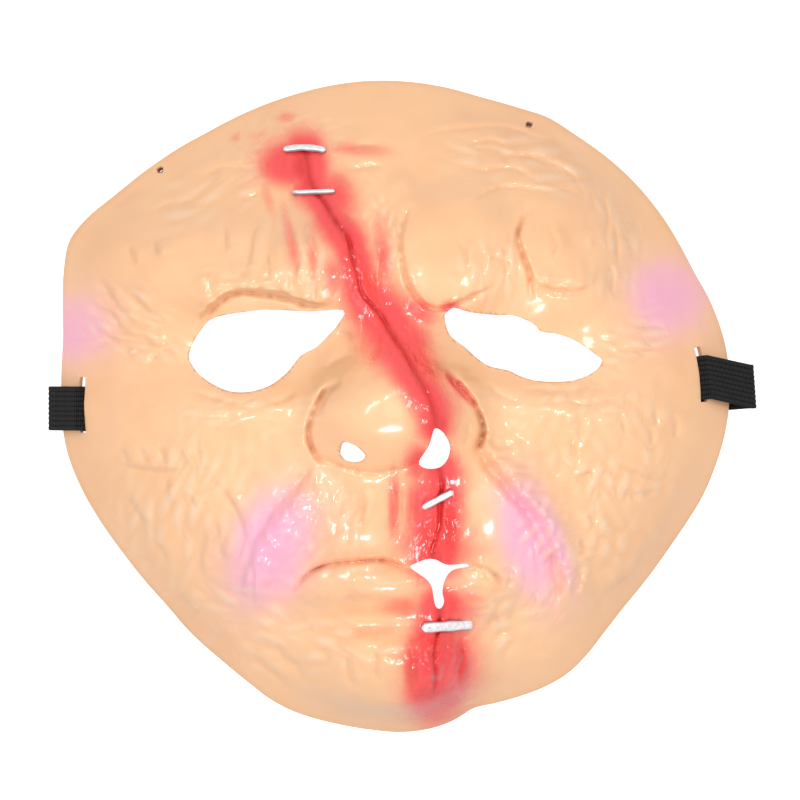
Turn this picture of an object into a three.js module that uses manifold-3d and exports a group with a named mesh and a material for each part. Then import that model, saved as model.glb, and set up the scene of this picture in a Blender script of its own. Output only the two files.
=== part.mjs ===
// A thin moulded face mask with a stapled scar, held on by one flat elastic strap.
// It lies face up: +X across the face, +Y up to the forehead, +Z out of the face.
// The origin is on the surface that the rim rests on, below the middle of the whole.
// All sizes are in millimetres.

import * as THREE from 'three';
import { mergeVertices } from 'three/addons/utils/BufferGeometryUtils.js';
import Module from 'manifold-3d';

// The face, measured at its rim
const FACE_WIDTH = 220;
const FACE_HEIGHT = 214;
// How far the bare dome stands out in front of the rim, and the unit of its features
const DOME_DEPTH = 54;
const RELIEF = 10;
// How steeply the dome drops at the sides, and how much flatter it is at the forehead
const DOME_POWER = 2.75;
const DOME_POWER_CHANGE = 0.45;
// The rim bows up between its four feet, which leaves room for the strap
const RIM_WAVE = 4;
const RIM_FEET = 4;
// Features die out over this last share of the way to the rim
const RIM_BAND = 0.1;
const WALL = 1.2;

// Clearance between separate pieces
const GAP = 0.3;

// The elastic strap and the slots that it passes through
const STRAP_WIDTH = 14.5;
const STRAP_THICKNESS = 1.1;
const STRAP_TAIL = 10;
const STRAP_TURN = 1.35;
const STRAP_PLAY = 1;
// How far the tail inside the mask leans away from the wall, as a slope
const TAIL_SLOPE = 0.25;
const SLOT_PLAY = 3.7;
const SLOT_OPENING = STRAP_THICKNESS + 2 * STRAP_PLAY;
const SLOT_LENGTH = STRAP_WIDTH + SLOT_PLAY;

// The moulded staples
const STAPLE_WIDTH = 2.4;
const STAPLE_THICKNESS = 1.8;
const STAPLE_SINK = 0.4;

// Small holes left by the mould's pins
const PIN_HOLE = 2;

// Cells across the face in the modelled grid
const CELLS = 44;

// Directions are degrees anticlockwise from +X. Places are shares of half the face's width
// and height from its middle. Other lengths are shares of half the width, and heights are
// shares of RELIEF.

const OUTLINE = [
  { angle: 0, reach: 0.976 },
  { angle: 10, reach: 0.984 },
  { angle: 19, reach: 0.977 },
  { angle: 26, reach: 0.966 },
  { angle: 37, reach: 0.973 },
  { angle: 44, reach: 0.978 },
  { angle: 51, reach: 0.981 },
  { angle: 58, reach: 0.983 },
  { angle: 64, reach: 0.99 },
  { angle: 69, reach: 0.983 },
  { angle: 76, reach: 0.98 },
  { angle: 83, reach: 0.99 },
  { angle: 93, reach: 1.003 },
  { angle: 99, reach: 1.008 },
  { angle: 111, reach: 1.014 },
  { angle: 124, reach: 1.025 },
  { angle: 130, reach: 1.039 },
  { angle: 136, reach: 1.055 },
  { angle: 143, reach: 1.079 },
  { angle: 149, reach: 1.11 },
  { angle: 153, reach: 1.119 },
  { angle: 157, reach: 1.1 },
  { angle: 162, reach: 1.069 },
  { angle: 168, reach: 1.038 },
  { angle: 175, reach: 1.024 },
  { angle: 183, reach: 1.018 },
  { angle: 188, reach: 1.012 },
  { angle: 194, reach: 0.995 },
  { angle: 200, reach: 0.975 },
  { angle: 208, reach: 0.951 },
  { angle: 215, reach: 0.939 },
  { angle: 221, reach: 0.934 },
  { angle: 228, reach: 0.942 },
  { angle: 235, reach: 0.95 },
  { angle: 242, reach: 0.968 },
  { angle: 246, reach: 0.983 },
  { angle: 251, reach: 0.993 },
  { angle: 260, reach: 0.996 },
  { angle: 266, reach: 0.999 },
  { angle: 270, reach: 1.001 },
  { angle: 275, reach: 0.993 },
  { angle: 279, reach: 0.977 },
  { angle: 283, reach: 0.952 },
  { angle: 287, reach: 0.954 },
  { angle: 292, reach: 0.959 },
  { angle: 296, reach: 0.962 },
  { angle: 301, reach: 0.959 },
  { angle: 306, reach: 0.942 },
  { angle: 311, reach: 0.921 },
  { angle: 317, reach: 0.906 },
  { angle: 324, reach: 0.904 },
  { angle: 331, reach: 0.909 },
  { angle: 337, reach: 0.922 },
  { angle: 343, reach: 0.94 },
  { angle: 349, reach: 0.954 },
  { angle: 355, reach: 0.968 },
];

const MOUNDS = [
  { name: 'nose_bridge', x: -0.01, y: 0.19, long: 0.13, across: 0.21, tilt: 10, height: 0.7, edge: 1 },
  { name: 'nose_bulb', x: -0.055, y: -0.02, long: 0.21, across: 0.17, tilt: 0, height: 1.6, edge: 1.8 },
  { name: 'nose_tip', x: -0.08, y: -0.04, long: 0.13, across: 0.11, tilt: 0, height: 0.45, edge: 1.2 },
  { name: 'right_wing', x: 0.14, y: -0.04, long: 0.11, across: 0.16, tilt: 6, height: 0.85, edge: 1.8 },
  { name: 'left_brow', x: -0.53, y: 0.445, long: 0.37, across: 0.14, tilt: -2, height: 0.8, edge: 1.6 },
  { name: 'left_brow_in', x: -0.25, y: 0.445, long: 0.14, across: 0.15, tilt: 0, height: 0.45, edge: 1.6 },
  { name: 'right_brow_in', x: 0.155, y: 0.475, long: 0.18, across: 0.19, tilt: 0, height: 0.85, edge: 2.2 },
  { name: 'right_brow_out', x: 0.495, y: 0.495, long: 0.17, across: 0.19, tilt: 10, height: 0.7, edge: 1.8 },
  { name: 'right_forehead', x: 0.29, y: 0.735, long: 0.3, across: 0.13, tilt: -8, height: 0.26, edge: 1.2 },
  { name: 'left_forehead', x: -0.53, y: 0.68, long: 0.3, across: 0.13, tilt: 25, height: 0.22, edge: 1.2 },
  { name: 'forehead_flap', x: -0.005, y: 0.65, long: 0.045, across: 0.06, tilt: 0, height: 0.22, edge: 1.8 },
  { name: 'left_socket', x: -0.42, y: 0.165, long: 0.28, across: 0.13, tilt: 6, height: -0.7, edge: 1.3 },
  { name: 'right_socket', x: 0.365, y: 0.175, long: 0.29, across: 0.13, tilt: -18, height: -0.7, edge: 1.3 },
  { name: 'frown', x: -0.06, y: 0.35, long: 0.05, across: 0.1, tilt: 20, height: -0.4, edge: 1 },
  { name: 'left_eye_bag', x: -0.455, y: -0.01, long: 0.21, across: 0.07, tilt: 0, height: 0.24, edge: 1.3 },
  { name: 'right_eye_bag', x: 0.44, y: 0.01, long: 0.21, across: 0.06, tilt: -4, height: 0.24, edge: 1.3 },
  { name: 'left_cheek', x: -0.62, y: -0.07, long: 0.3, across: 0.2, tilt: 0, height: 0.4, edge: 1.2 },
  { name: 'right_cheek', x: 0.615, y: -0.12, long: 0.26, across: 0.24, tilt: 0, height: 0.4, edge: 1.2 },
  { name: 'left_jowl', x: -0.605, y: -0.425, long: 0.18, across: 0.27, tilt: 22, height: 0.35, edge: 1.3 },
  { name: 'right_jowl', x: 0.655, y: -0.425, long: 0.15, across: 0.25, tilt: -25, height: 0.35, edge: 1.3 },
  { name: 'left_laugh', x: -0.4, y: -0.425, long: 0.11, across: 0.21, tilt: -25, height: 0.45, edge: 1.5 },
  { name: 'right_laugh', x: 0.38, y: -0.38, long: 0.1, across: 0.23, tilt: 25, height: 0.5, edge: 1.5 },
  { name: 'left_muzzle', x: -0.155, y: -0.335, long: 0.17, across: 0.15, tilt: 0, height: 0.55, edge: 1.4 },
  { name: 'right_muzzle', x: 0.215, y: -0.335, long: 0.12, across: 0.19, tilt: 8, height: 0.5, edge: 1.4 },
  { name: 'left_lip', x: -0.105, y: -0.55, long: 0.2, across: 0.06, tilt: 4, height: 0.55, edge: 1.5 },
  { name: 'right_lip', x: 0.235, y: -0.565, long: 0.1, across: 0.08, tilt: -12, height: 0.35, edge: 1.4 },
  { name: 'mouth', x: 0.065, y: -0.49, long: 0.36, across: 0.04, tilt: 0, height: -0.2, edge: 1 },
  { name: 'under_lip', x: -0.03, y: -0.67, long: 0.29, across: 0.05, tilt: -3, height: -0.4, edge: 1.1 },
  { name: 'chin', x: -0.015, y: -0.82, long: 0.24, across: 0.16, tilt: 0, height: 1.4, edge: 1.7 },
  { name: 'left_corner', x: -0.355, y: -0.57, long: 0.06, across: 0.07, tilt: 0, height: -0.25, edge: 1 },
  { name: 'right_corner', x: 0.335, y: -0.61, long: 0.07, across: 0.07, tilt: 0, height: -0.25, edge: 1 },
];

// A fold is a groove along its path, with a raised lip on either side of it.
// Left and right are as seen when travelling along the path.
const FOLDS = [
  {
    name: 'left_laugh_line', depth: 0.14, width: 0.045, leftLip: 0.45, rightLip: 0, reach: 0.11,
    path: [
      [-0.26, -0.15], [-0.305, -0.225], [-0.38, -0.31],
      [-0.445, -0.41], [-0.48, -0.525], [-0.485, -0.63],
    ],
  },
  {
    name: 'right_laugh_line', depth: 0.16, width: 0.045, leftLip: 0.5, rightLip: 0, reach: 0.1,
    path: [
      [0.205, -0.065], [0.24, -0.15], [0.305, -0.24], [0.38, -0.33],
      [0.43, -0.425], [0.46, -0.535], [0.445, -0.655],
    ],
  },
  {
    name: 'left_nostril_fold', depth: 0.24, width: 0.034, leftLip: 0, rightLip: 0.1, reach: 0.06,
    path: [
      [-0.18, 0.08], [-0.23, 0.04], [-0.265, -0.015],
      [-0.275, -0.09], [-0.26, -0.15], [-0.215, -0.185],
    ],
  },
  {
    name: 'right_nostril_fold', depth: 0.26, width: 0.034, leftLip: 0.12, rightLip: 0, reach: 0.06,
    path: [[0.12, 0.105], [0.17, 0.07], [0.21, 0.015], [0.235, -0.055], [0.23, -0.115], [0.205, -0.16]],
  },
  {
    name: 'under_nose', depth: 0.16, width: 0.034, leftLip: 0, rightLip: 0, reach: 0.04,
    path: [
      [-0.265, -0.15], [-0.2, -0.175], [-0.12, -0.195],
      [-0.03, -0.195], [0.035, -0.17], [0.065, -0.14],
    ],
  },
  {
    name: 'left_mouth_line', depth: 0.2, width: 0.032, leftLip: 0, rightLip: 0.12, reach: 0.05,
    path: [
      [-0.34, -0.59], [-0.305, -0.535], [-0.24, -0.49], [-0.155, -0.47],
      [-0.075, -0.47], [-0.015, -0.48], [0.04, -0.495],
    ],
  },
  {
    name: 'right_mouth_line', depth: 0.14, width: 0.032, leftLip: 0.06, rightLip: 0, reach: 0.03,
    path: [[0.18, -0.485], [0.225, -0.49], [0.275, -0.515], [0.305, -0.565]],
  },
  {
    name: 'left_lid', depth: 0.18, width: 0.034, leftLip: 0.3, rightLip: 0, reach: 0.09,
    path: [
      [-0.67, 0.255], [-0.605, 0.305], [-0.54, 0.325], [-0.455, 0.34],
      [-0.35, 0.335], [-0.25, 0.315], [-0.17, 0.315],
    ],
  },
  {
    name: 'right_brow_edge', depth: 0.2, width: 0.036, leftLip: 0.1, rightLip: 0, reach: 0.05,
    path: [
      [0.04, 0.635], [0, 0.565], [-0.005, 0.48], [0.005, 0.395], [0.05, 0.325],
      [0.11, 0.295], [0.18, 0.315], [0.24, 0.35], [0.305, 0.375],
    ],
  },
  {
    name: 'right_brow_split', depth: 0.22, width: 0.032, leftLip: 0.16, rightLip: 0, reach: 0.05,
    path: [[0.37, 0.61], [0.345, 0.53], [0.355, 0.46], [0.38, 0.395], [0.38, 0.32]],
  },
  {
    name: 'right_brow_under', depth: 0.14, width: 0.036, leftLip: 0.2, rightLip: 0, reach: 0.07,
    path: [[0.38, 0.38], [0.435, 0.35], [0.505, 0.345], [0.585, 0.37]],
  },
  {
    name: 'scar_upper', depth: 0.2, width: 0.032, leftLip: 0.16, rightLip: 0.14, reach: 0.045,
    path: [
      [-0.295, 0.78], [-0.265, 0.675], [-0.235, 0.625], [-0.2, 0.56], [-0.155, 0.495], [-0.125, 0.365],
      [-0.09, 0.31], [-0.045, 0.245], [0.005, 0.165], [0.05, 0.075], [0.085, 0.015], [0.095, -0.055],
    ],
  },
  {
    name: 'scar_upper_lip', depth: 0.2, width: 0.032, leftLip: 0.16, rightLip: 0.16, reach: 0.045,
    path: [[0.105, -0.19], [0.12, -0.245], [0.11, -0.305], [0.105, -0.375], [0.09, -0.435], [0.095, -0.47]],
  },
  {
    name: 'scar_chin', depth: 0.18, width: 0.032, leftLip: 0.12, rightLip: 0.12, reach: 0.045,
    path: [[0.11, -0.605], [0.105, -0.67], [0.1, -0.735], [0.095, -0.805], [0.095, -0.9]],
  },
  {
    name: 'lip_groove', depth: 0.18, width: 0.034, leftLip: 0.08, rightLip: 0, reach: 0.045,
    path: [[-0.005, -0.22], [-0.01, -0.285], [-0.02, -0.355], [-0.03, -0.425]],
  },
];

// Share of a fold's length over which it fades in and out
const FOLD_FADE = 0.22;
const FOLD_STEPS = 3;

const HOLES = [
  {
    name: 'left_eye',
    rim: [
      [-0.175, 0.293], [-0.273, 0.289], [-0.396, 0.295], [-0.467, 0.288], [-0.525, 0.279], [-0.572, 0.263],
      [-0.599, 0.23], [-0.622, 0.193], [-0.634, 0.152], [-0.622, 0.123], [-0.599, 0.094], [-0.554, 0.063],
      [-0.51, 0.046], [-0.467, 0.043], [-0.424, 0.051], [-0.381, 0.07], [-0.337, 0.108], [-0.3, 0.155],
      [-0.258, 0.178], [-0.222, 0.212], [-0.19, 0.25],
    ],
  },
  {
    name: 'right_eye',
    rim: [
      [0.124, 0.272], [0.133, 0.288], [0.154, 0.3], [0.199, 0.287], [0.282, 0.278], [0.329, 0.278],
      [0.387, 0.253], [0.41, 0.229], [0.451, 0.223], [0.497, 0.209], [0.534, 0.187], [0.572, 0.159],
      [0.592, 0.14], [0.576, 0.112], [0.542, 0.091], [0.497, 0.077], [0.451, 0.075], [0.397, 0.078],
      [0.351, 0.091], [0.314, 0.109], [0.261, 0.121], [0.225, 0.143], [0.184, 0.18], [0.139, 0.218],
    ],
  },
  {
    name: 'left_nostril',
    rim: [
      [-0.182, -0.131], [-0.175, -0.11], [-0.16, -0.109], [-0.136, -0.12], [-0.118, -0.135], [-0.109, -0.149],
      [-0.118, -0.163], [-0.139, -0.169], [-0.166, -0.164], [-0.181, -0.147],
    ],
  },
  {
    name: 'right_nostril',
    rim: [
      [0.096, -0.066], [0.115, -0.074], [0.13, -0.094], [0.14, -0.118], [0.138, -0.143], [0.13, -0.164],
      [0.115, -0.181], [0.096, -0.188], [0.07, -0.188], [0.051, -0.178], [0.051, -0.161], [0.064, -0.141],
      [0.079, -0.115], [0.088, -0.084],
    ],
  },
  {
    name: 'mouth',
    rim: [
      [0.022, -0.487], [0.046, -0.474], [0.072, -0.464], [0.097, -0.465], [0.118, -0.476], [0.139, -0.482],
      [0.187, -0.478], [0.196, -0.487], [0.172, -0.491], [0.149, -0.498], [0.134, -0.512], [0.123, -0.536],
      [0.118, -0.564], [0.123, -0.59], [0.119, -0.608], [0.109, -0.616], [0.098, -0.607], [0.092, -0.582],
      [0.087, -0.551], [0.072, -0.527], [0.046, -0.507],
    ],
  },
];

const PIN_HOLES = [
  { name: 'left_pin', x: -0.724, y: 0.727 },
  { name: 'right_pin', x: 0.378, y: 0.865 },
];

// A slot's middle, its lean from upright in degrees, how far the strap sits below the
// slot's middle as a share of the play, and where the strap's loop turns back.
const SLOTS = [
  { name: 'right', x: 0.893, y: 0.099, lean: 4, sag: 0.34, loopX: 1.055, loopY: 0.061 },
  { name: 'left', x: -0.957, y: 0.005, lean: 0, sag: 0.34, loopX: -1.059, loopY: -0.006 },
];

// Places that the strap passes below the mask, from right to left. It keeps between the
// eyes and the nostrils, so that no opening shows it from the front.
const STRAP_ROUTE = [
  [0.8, 0.042], [0.45, 0.006], [0.1, 0.009], [-0.15, -0.014], [-0.48, -0.03], [-0.8, -0.014],
];

// A staple's ends, its width as a share of STAPLE_WIDTH, and its sideways bow as a share
// of its length.
const STAPLES = [
  { name: 'staple_forehead_upper', from: [-0.354, 0.782], to: [-0.228, 0.78], width: 1, bow: 0.06 },
  { name: 'staple_forehead_lower', from: [-0.324, 0.648], to: [-0.2, 0.653], width: 0.65, bow: 0 },
  { name: 'staple_upper_lip', from: [0.061, -0.306], to: [0.151, -0.257], width: 0.85, bow: 0 },
  { name: 'staple_chin', from: [0.055, -0.674], to: [0.207, -0.664], width: 1.5, bow: 0 },
];

const HALF_WIDTH = FACE_WIDTH / 2;
const HALF_HEIGHT = FACE_HEIGHT / 2;
const Z_AXIS = new THREE.Vector3(0, 0, 1);

// Smooth step from 0 at low to 1 at high
function ease(low, high, value) {
  return THREE.MathUtils.smoothstep((value - low) / (high - low), 0, 1);
}

// Share of half the face's size at which the rim lies in one direction, in radians
function rimReach(direction) {
  const count = OUTLINE.length;
  const degrees = THREE.MathUtils.euclideanModulo(THREE.MathUtils.radToDeg(direction), 360);
  let index = count - 1;
  while (OUTLINE[index].angle > degrees) {
    index -= 1;
  }
  const row = (offset) => {
    const place = index + offset;
    const turns = Math.floor(place / count);
    const { angle, reach } = OUTLINE[place - turns * count];
    return { angle: angle + 360 * turns, reach };
  };
  const [before, start, end, after] = [row(-1), row(0), row(1), row(2)];
  const span = end.angle - start.angle;
  const startSlope = (end.reach - before.reach) / (end.angle - before.angle);
  const endSlope = (after.reach - start.reach) / (after.angle - start.angle);
  const t = (degrees - start.angle) / span;
  const blend = t * t * (3 - 2 * t);
  const startPart = t * (1 - t) * (1 - t) * span * startSlope;
  const endPart = t * t * (1 - t) * span * endSlope;
  return start.reach * (1 - blend) + end.reach * blend + startPart - endPart;
}

function smoothPath(path) {
  const points = path.map(([x, y]) => new THREE.Vector3(x * HALF_WIDTH, y * HALF_HEIGHT, 0));
  const curve = new THREE.CatmullRomCurve3(points, false, 'catmullrom', 0.5);
  return curve.getPoints(FOLD_STEPS * (points.length - 1));
}

const foldLines = FOLDS.map((fold) => {
  const points = smoothPath(fold.path);
  const ends = [0];
  for (let i = 1; i < points.length; i += 1) {
    ends.push(ends[i - 1] + points[i].distanceTo(points[i - 1]));
  }
  return { fold, points, ends, length: ends[ends.length - 1] };
});

// Distance from a point to a fold's path, which side it is on, and the share of the way along
function nearestOnFold(line, x, y) {
  let best = { distance: Infinity, side: 0, along: 0 };
  for (let i = 1; i < line.points.length; i += 1) {
    const start = line.points[i - 1];
    const end = line.points[i];
    const span = line.ends[i] - line.ends[i - 1];
    const alongX = (end.x - start.x) / span;
    const alongY = (end.y - start.y) / span;
    const reach = (x - start.x) * alongX + (y - start.y) * alongY;
    const t = THREE.MathUtils.clamp(reach, 0, span);
    const offX = x - start.x - t * alongX;
    const offY = y - start.y - t * alongY;
    const distance = Math.hypot(offX, offY);
    if (distance < best.distance) {
      const side = Math.sign(alongX * offY - alongY * offX);
      best = { distance, side, along: (line.ends[i - 1] + t) / line.length };
    }
  }
  return best;
}

function moundHeight(x, y) {
  let height = 0;
  for (const mound of MOUNDS) {
    const tilt = THREE.MathUtils.degToRad(mound.tilt);
    const dx = x - mound.x * HALF_WIDTH;
    const dy = y - mound.y * HALF_HEIGHT;
    const long = (dx * Math.cos(tilt) + dy * Math.sin(tilt)) / (mound.long * HALF_WIDTH);
    const across = (dy * Math.cos(tilt) - dx * Math.sin(tilt)) / (mound.across * HALF_WIDTH);
    height += mound.height * Math.exp(-((long * long + across * across) ** mound.edge));
  }
  return height * RELIEF;
}

function foldHeight(x, y) {
  let height = 0;
  for (const line of foldLines) {
    const { fold } = line;
    const { distance, side, along } = nearestOnFold(line, x, y);
    const fade = ease(0, FOLD_FADE, along) * ease(0, FOLD_FADE, 1 - along);
    const groove = Math.exp(-((distance / (fold.width * HALF_WIDTH)) ** 2));
    const spread = Math.exp(-((distance / (fold.reach * HALF_WIDTH)) ** 2));
    const lip = side > 0 ? fold.leftLip : fold.rightLip;
    height += fade * (lip * (1 - groove) * spread - fold.depth * groove);
  }
  return height * RELIEF;
}

// Height of the front surface above the surface that the rim rests on
function faceHeight(x, y) {
  const direction = Math.atan2(y / HALF_HEIGHT, x / HALF_WIDTH);
  const share = Math.hypot(x / HALF_WIDTH, y / HALF_HEIGHT) / rimReach(direction);
  const power = DOME_POWER - DOME_POWER_CHANGE * Math.sin(direction);
  const dome = DOME_DEPTH * (1 - Math.min(share, 1) ** power);
  const wave = RIM_WAVE * Math.max(0, Math.cos(RIM_FEET * direction)) ** 1.5 * share * share;
  const features = (moundHeight(x, y) + foldHeight(x, y)) * ease(1, 1 - RIM_BAND, share);
  return dome + wave + features;
}

function facePoint(x, y) {
  return new THREE.Vector3(x, y, faceHeight(x, y));
}

// Direction out of the front surface
function faceNormal(x, y) {
  const step = HALF_WIDTH / 500;
  const slopeX = (faceHeight(x + step, y) - faceHeight(x - step, y)) / (2 * step);
  const slopeY = (faceHeight(x, y + step) - faceHeight(x, y - step)) / (2 * step);
  return new THREE.Vector3(-slopeX, -slopeY, 1).normalize();
}

// Place in plan of a grid cell's corner: a square grid drawn out into the face's outline
function gridPlace(column, row, scale = 1) {
  const u = (2 * column) / CELLS - 1;
  const v = (2 * row) / CELLS - 1;
  const share = Math.max(Math.abs(u), Math.abs(v));
  if (share === 0) {
    return { x: 0, y: 0, share };
  }
  const quarter = Math.PI / 4;
  let direction = quarter * (v / u);
  if (Math.abs(v) > Math.abs(u)) {
    direction = 2 * quarter - quarter * (u / v);
  }
  if (Math.abs(v) > Math.abs(u) ? v < 0 : u < 0) {
    direction += Math.PI;
  }
  const reach = share * scale * rimReach(direction);
  return { x: reach * Math.cos(direction) * HALF_WIDTH, y: reach * Math.sin(direction) * HALF_HEIGHT, share };
}

// Front and back points of the wall at one corner of the grid. At the rim the wall is cut
// off level, so the back point lies straight inwards from the front one.
function wallPoints(column, row) {
  const { x, y, share } = gridPlace(column, row);
  const front = facePoint(x, y);
  if (share < 1) {
    return { front, back: front.clone().addScaledVector(faceNormal(x, y), -WALL) };
  }
  const inside = gridPlace(column, row, 1 - RIM_BAND / 4);
  const normal = faceNormal(inside.x, inside.y);
  const flat = new THREE.Vector3(normal.x, normal.y, 0);
  const across = flat.length();
  return { front, back: front.clone().addScaledVector(flat, -WALL / (across * across)) };
}

function geometryFrom(positions, index) {
  const geometry = new THREE.BufferGeometry();
  geometry.setAttribute('position', new THREE.Float32BufferAttribute(positions, 3));
  geometry.setIndex(index);
  return geometry;
}

// The bare wall, before anything is cut into it
function wallGeometry() {
  const side = CELLS + 1;
  const fronts = [];
  const backs = [];
  for (let row = 0; row < side; row += 1) {
    for (let column = 0; column < side; column += 1) {
      const { front, back } = wallPoints(column, row);
      fronts.push(...front.toArray());
      backs.push(...back.toArray());
    }
  }
  const layer = side * side;
  const index = [];
  const quad = (a, b, c, d) => index.push(a, b, c, a, c, d);
  for (let row = 0; row < CELLS; row += 1) {
    for (let column = 0; column < CELLS; column += 1) {
      const a = row * side + column;
      // Each cell's diagonal points at the middle, so that the rim's corners stay smooth
      const even = (column < CELLS / 2) === (row < CELLS / 2);
      const corners = even ? [a, a + 1, a + side + 1, a + side] : [a + 1, a + side + 1, a + side, a];
      quad(...corners);
      quad(...corners.map((corner) => corner + layer).reverse());
    }
  }
  const edge = [];
  for (let step = 0; step < CELLS; step += 1) edge.push(step);
  for (let step = 0; step < CELLS; step += 1) edge.push(step * side + CELLS);
  for (let step = CELLS; step > 0; step -= 1) edge.push(CELLS * side + step);
  for (let step = CELLS; step > 0; step -= 1) edge.push(step * side);
  edge.forEach((corner, step) => {
    const next = edge[(step + 1) % edge.length];
    quad(corner + layer, next + layer, next, corner);
  });
  return geometryFrom([...fronts, ...backs], index);
}

// Closed skin over a row of sections with the same number of corners
function skinOver(sections) {
  const corners = sections[0].length;
  const positions = sections.flat().flatMap((point) => point.toArray());
  const index = [];
  for (let i = 0; i + 1 < sections.length; i += 1) {
    for (let corner = 0; corner < corners; corner += 1) {
      const next = (corner + 1) % corners;
      const a = i * corners + corner;
      const b = i * corners + next;
      index.push(a, b, b + corners, a, b + corners, a + corners);
    }
  }
  const last = (sections.length - 1) * corners;
  for (let corner = 1; corner + 1 < corners; corner += 1) {
    index.push(0, corner + 1, corner);
    index.push(last, last + corner, last + corner + 1);
  }
  return geometryFrom(positions, index);
}

// A straight cutter through the whole mask, for an opening seen from the front
function holeCutter(rim) {
  const points = rim.map(([x, y]) => new THREE.Vector2(x * HALF_WIDTH, y * HALF_HEIGHT));
  const tall = 2 * DOME_DEPTH + 4 * RELIEF;
  const cutter = new THREE.ExtrudeGeometry(new THREE.Shape(points), { depth: tall, bevelEnabled: false });
  return cutter.translate(0, 0, -RELIEF);
}

// A round cutter square to the wall
function pinCutter({ x, y }) {
  const placeX = x * HALF_WIDTH;
  const placeY = y * HALF_HEIGHT;
  const normal = faceNormal(placeX, placeY);
  const cutter = new THREE.CylinderGeometry(PIN_HOLE / 2, PIN_HOLE / 2, 6 * WALL, 12);
  cutter.applyQuaternion(new THREE.Quaternion().setFromUnitVectors(new THREE.Vector3(0, 1, 0), normal));
  return cutter.translate(...facePoint(placeX, placeY).toArray());
}

// Middle of the wall at a slot, with the directions out of the wall, up the slot and down
// the wall towards the rim
function slotFrame(slot) {
  const x = slot.x * HALF_WIDTH;
  const y = slot.y * HALF_HEIGHT;
  const out = faceNormal(x, y);
  const middle = facePoint(x, y).addScaledVector(out, -WALL / 2);
  const up = new THREE.Vector3(0, 1, 0).applyAxisAngle(Z_AXIS, THREE.MathUtils.degToRad(slot.lean));
  up.addScaledVector(out, -up.dot(out)).normalize();
  const down = up.clone().cross(out);
  if (down.x * slot.x < 0) {
    down.negate();
  }
  return { middle, out, up, down };
}

function slotCutter(slot) {
  const { middle, out, up, down } = slotFrame(slot);
  const cutter = new THREE.BoxGeometry(SLOT_OPENING, SLOT_LENGTH, 6 * WALL);
  const axes = new THREE.Matrix4().makeBasis(down, up, down.clone().cross(up));
  return cutter.applyMatrix4(axes.setPosition(middle));
}

// One end of the strap, from its tail inside the mask, out round the slot's lower lip, down
// over the front of the wall and round the loop to the resting surface. Each station has the
// middle of the strap and the direction across it.
function strapEnd(slot) {
  const { middle, out, up, down } = slotFrame(slot);
  const turn = WALL / 2 + STRAP_PLAY + STRAP_THICKNESS / 2;
  const lip = middle.clone();
  lip.addScaledVector(down, SLOT_OPENING / 2);
  lip.addScaledVector(up, -slot.sag * SLOT_PLAY);
  const stations = [];
  const tailStart = lip.clone().addScaledVector(out, -turn);
  const tailWay = down.clone().addScaledVector(out, -TAIL_SLOPE).normalize();
  for (const share of [1, 0.5]) {
    stations.push({ point: tailStart.clone().addScaledVector(tailWay, share * STRAP_TAIL), across: up });
  }
  const turnSteps = 8;
  for (let step = 0; step <= turnSteps; step += 1) {
    const angle = (Math.PI * step) / turnSteps;
    const point = lip.clone().addScaledVector(out, -turn * Math.cos(angle));
    stations.push({ point: point.addScaledVector(down, -turn * Math.sin(angle)), across: up });
  }
  const leave = stations[stations.length - 1].point;
  const sideways = Math.sign(slot.x);
  const loop = STRAP_TURN + STRAP_THICKNESS / 2;
  const centreX = slot.loopX * HALF_WIDTH - sideways * (STRAP_THICKNESS / 2 + loop);
  const centreZ = STRAP_THICKNESS / 2 + loop;
  const acrossX = (centreX - leave.x) * sideways;
  const acrossZ = centreZ - leave.z;
  const distance = Math.hypot(acrossX, acrossZ);
  const heading = Math.atan2(acrossZ, acrossX) + Math.asin(loop / distance);
  const level = new THREE.Vector3(0, 1, 0).applyAxisAngle(Z_AXIS, THREE.MathUtils.degToRad(slot.lean));
  for (let step = 0; step <= turnSteps; step += 1) {
    const angle = THREE.MathUtils.lerp(heading + Math.PI / 2, -Math.PI / 2, step / turnSteps);
    const x = centreX + sideways * loop * Math.cos(angle);
    const z = centreZ + loop * Math.sin(angle);
    stations.push({ point: new THREE.Vector3(x, slot.loopY * HALF_HEIGHT, z), across: level });
  }
  return stations;
}

// The whole strap from the right tail to the left one. Between the two loops it lies flat
// on the resting surface, below the mask, along its route.
function strapStations() {
  const [right, left] = SLOTS.map(strapEnd);
  const start = right[right.length - 1].point;
  const end = left[left.length - 1].point;
  const places = STRAP_ROUTE.map(([x, y]) => new THREE.Vector3(x * HALF_WIDTH, y * HALF_HEIGHT, start.z));
  const curve = new THREE.CatmullRomCurve3([start, ...places, end], false, 'catmullrom', 0.5);
  const steps = 3 * (places.length + 1);
  const floor = [];
  for (let step = 1; step < steps; step += 1) {
    const across = Z_AXIS.clone().cross(curve.getTangent(step / steps)).negate();
    floor.push({ point: curve.getPoint(step / steps), across });
  }
  return [...right, ...floor, ...left.reverse()];
}

function strapGeometry() {
  const stations = strapStations();
  const sections = stations.map(({ point, across }, i) => {
    const before = stations[Math.max(i - 1, 0)].point;
    const after = stations[Math.min(i + 1, stations.length - 1)].point;
    const through = after.clone().sub(before).cross(across).normalize();
    const side = across.clone().multiplyScalar(STRAP_WIDTH / 2);
    const thick = through.multiplyScalar(STRAP_THICKNESS / 2);
    return [
      point.clone().add(side).add(thick),
      point.clone().sub(side).add(thick),
      point.clone().sub(side).sub(thick),
      point.clone().add(side).sub(thick),
    ];
  });
  return skinOver(sections);
}

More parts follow.
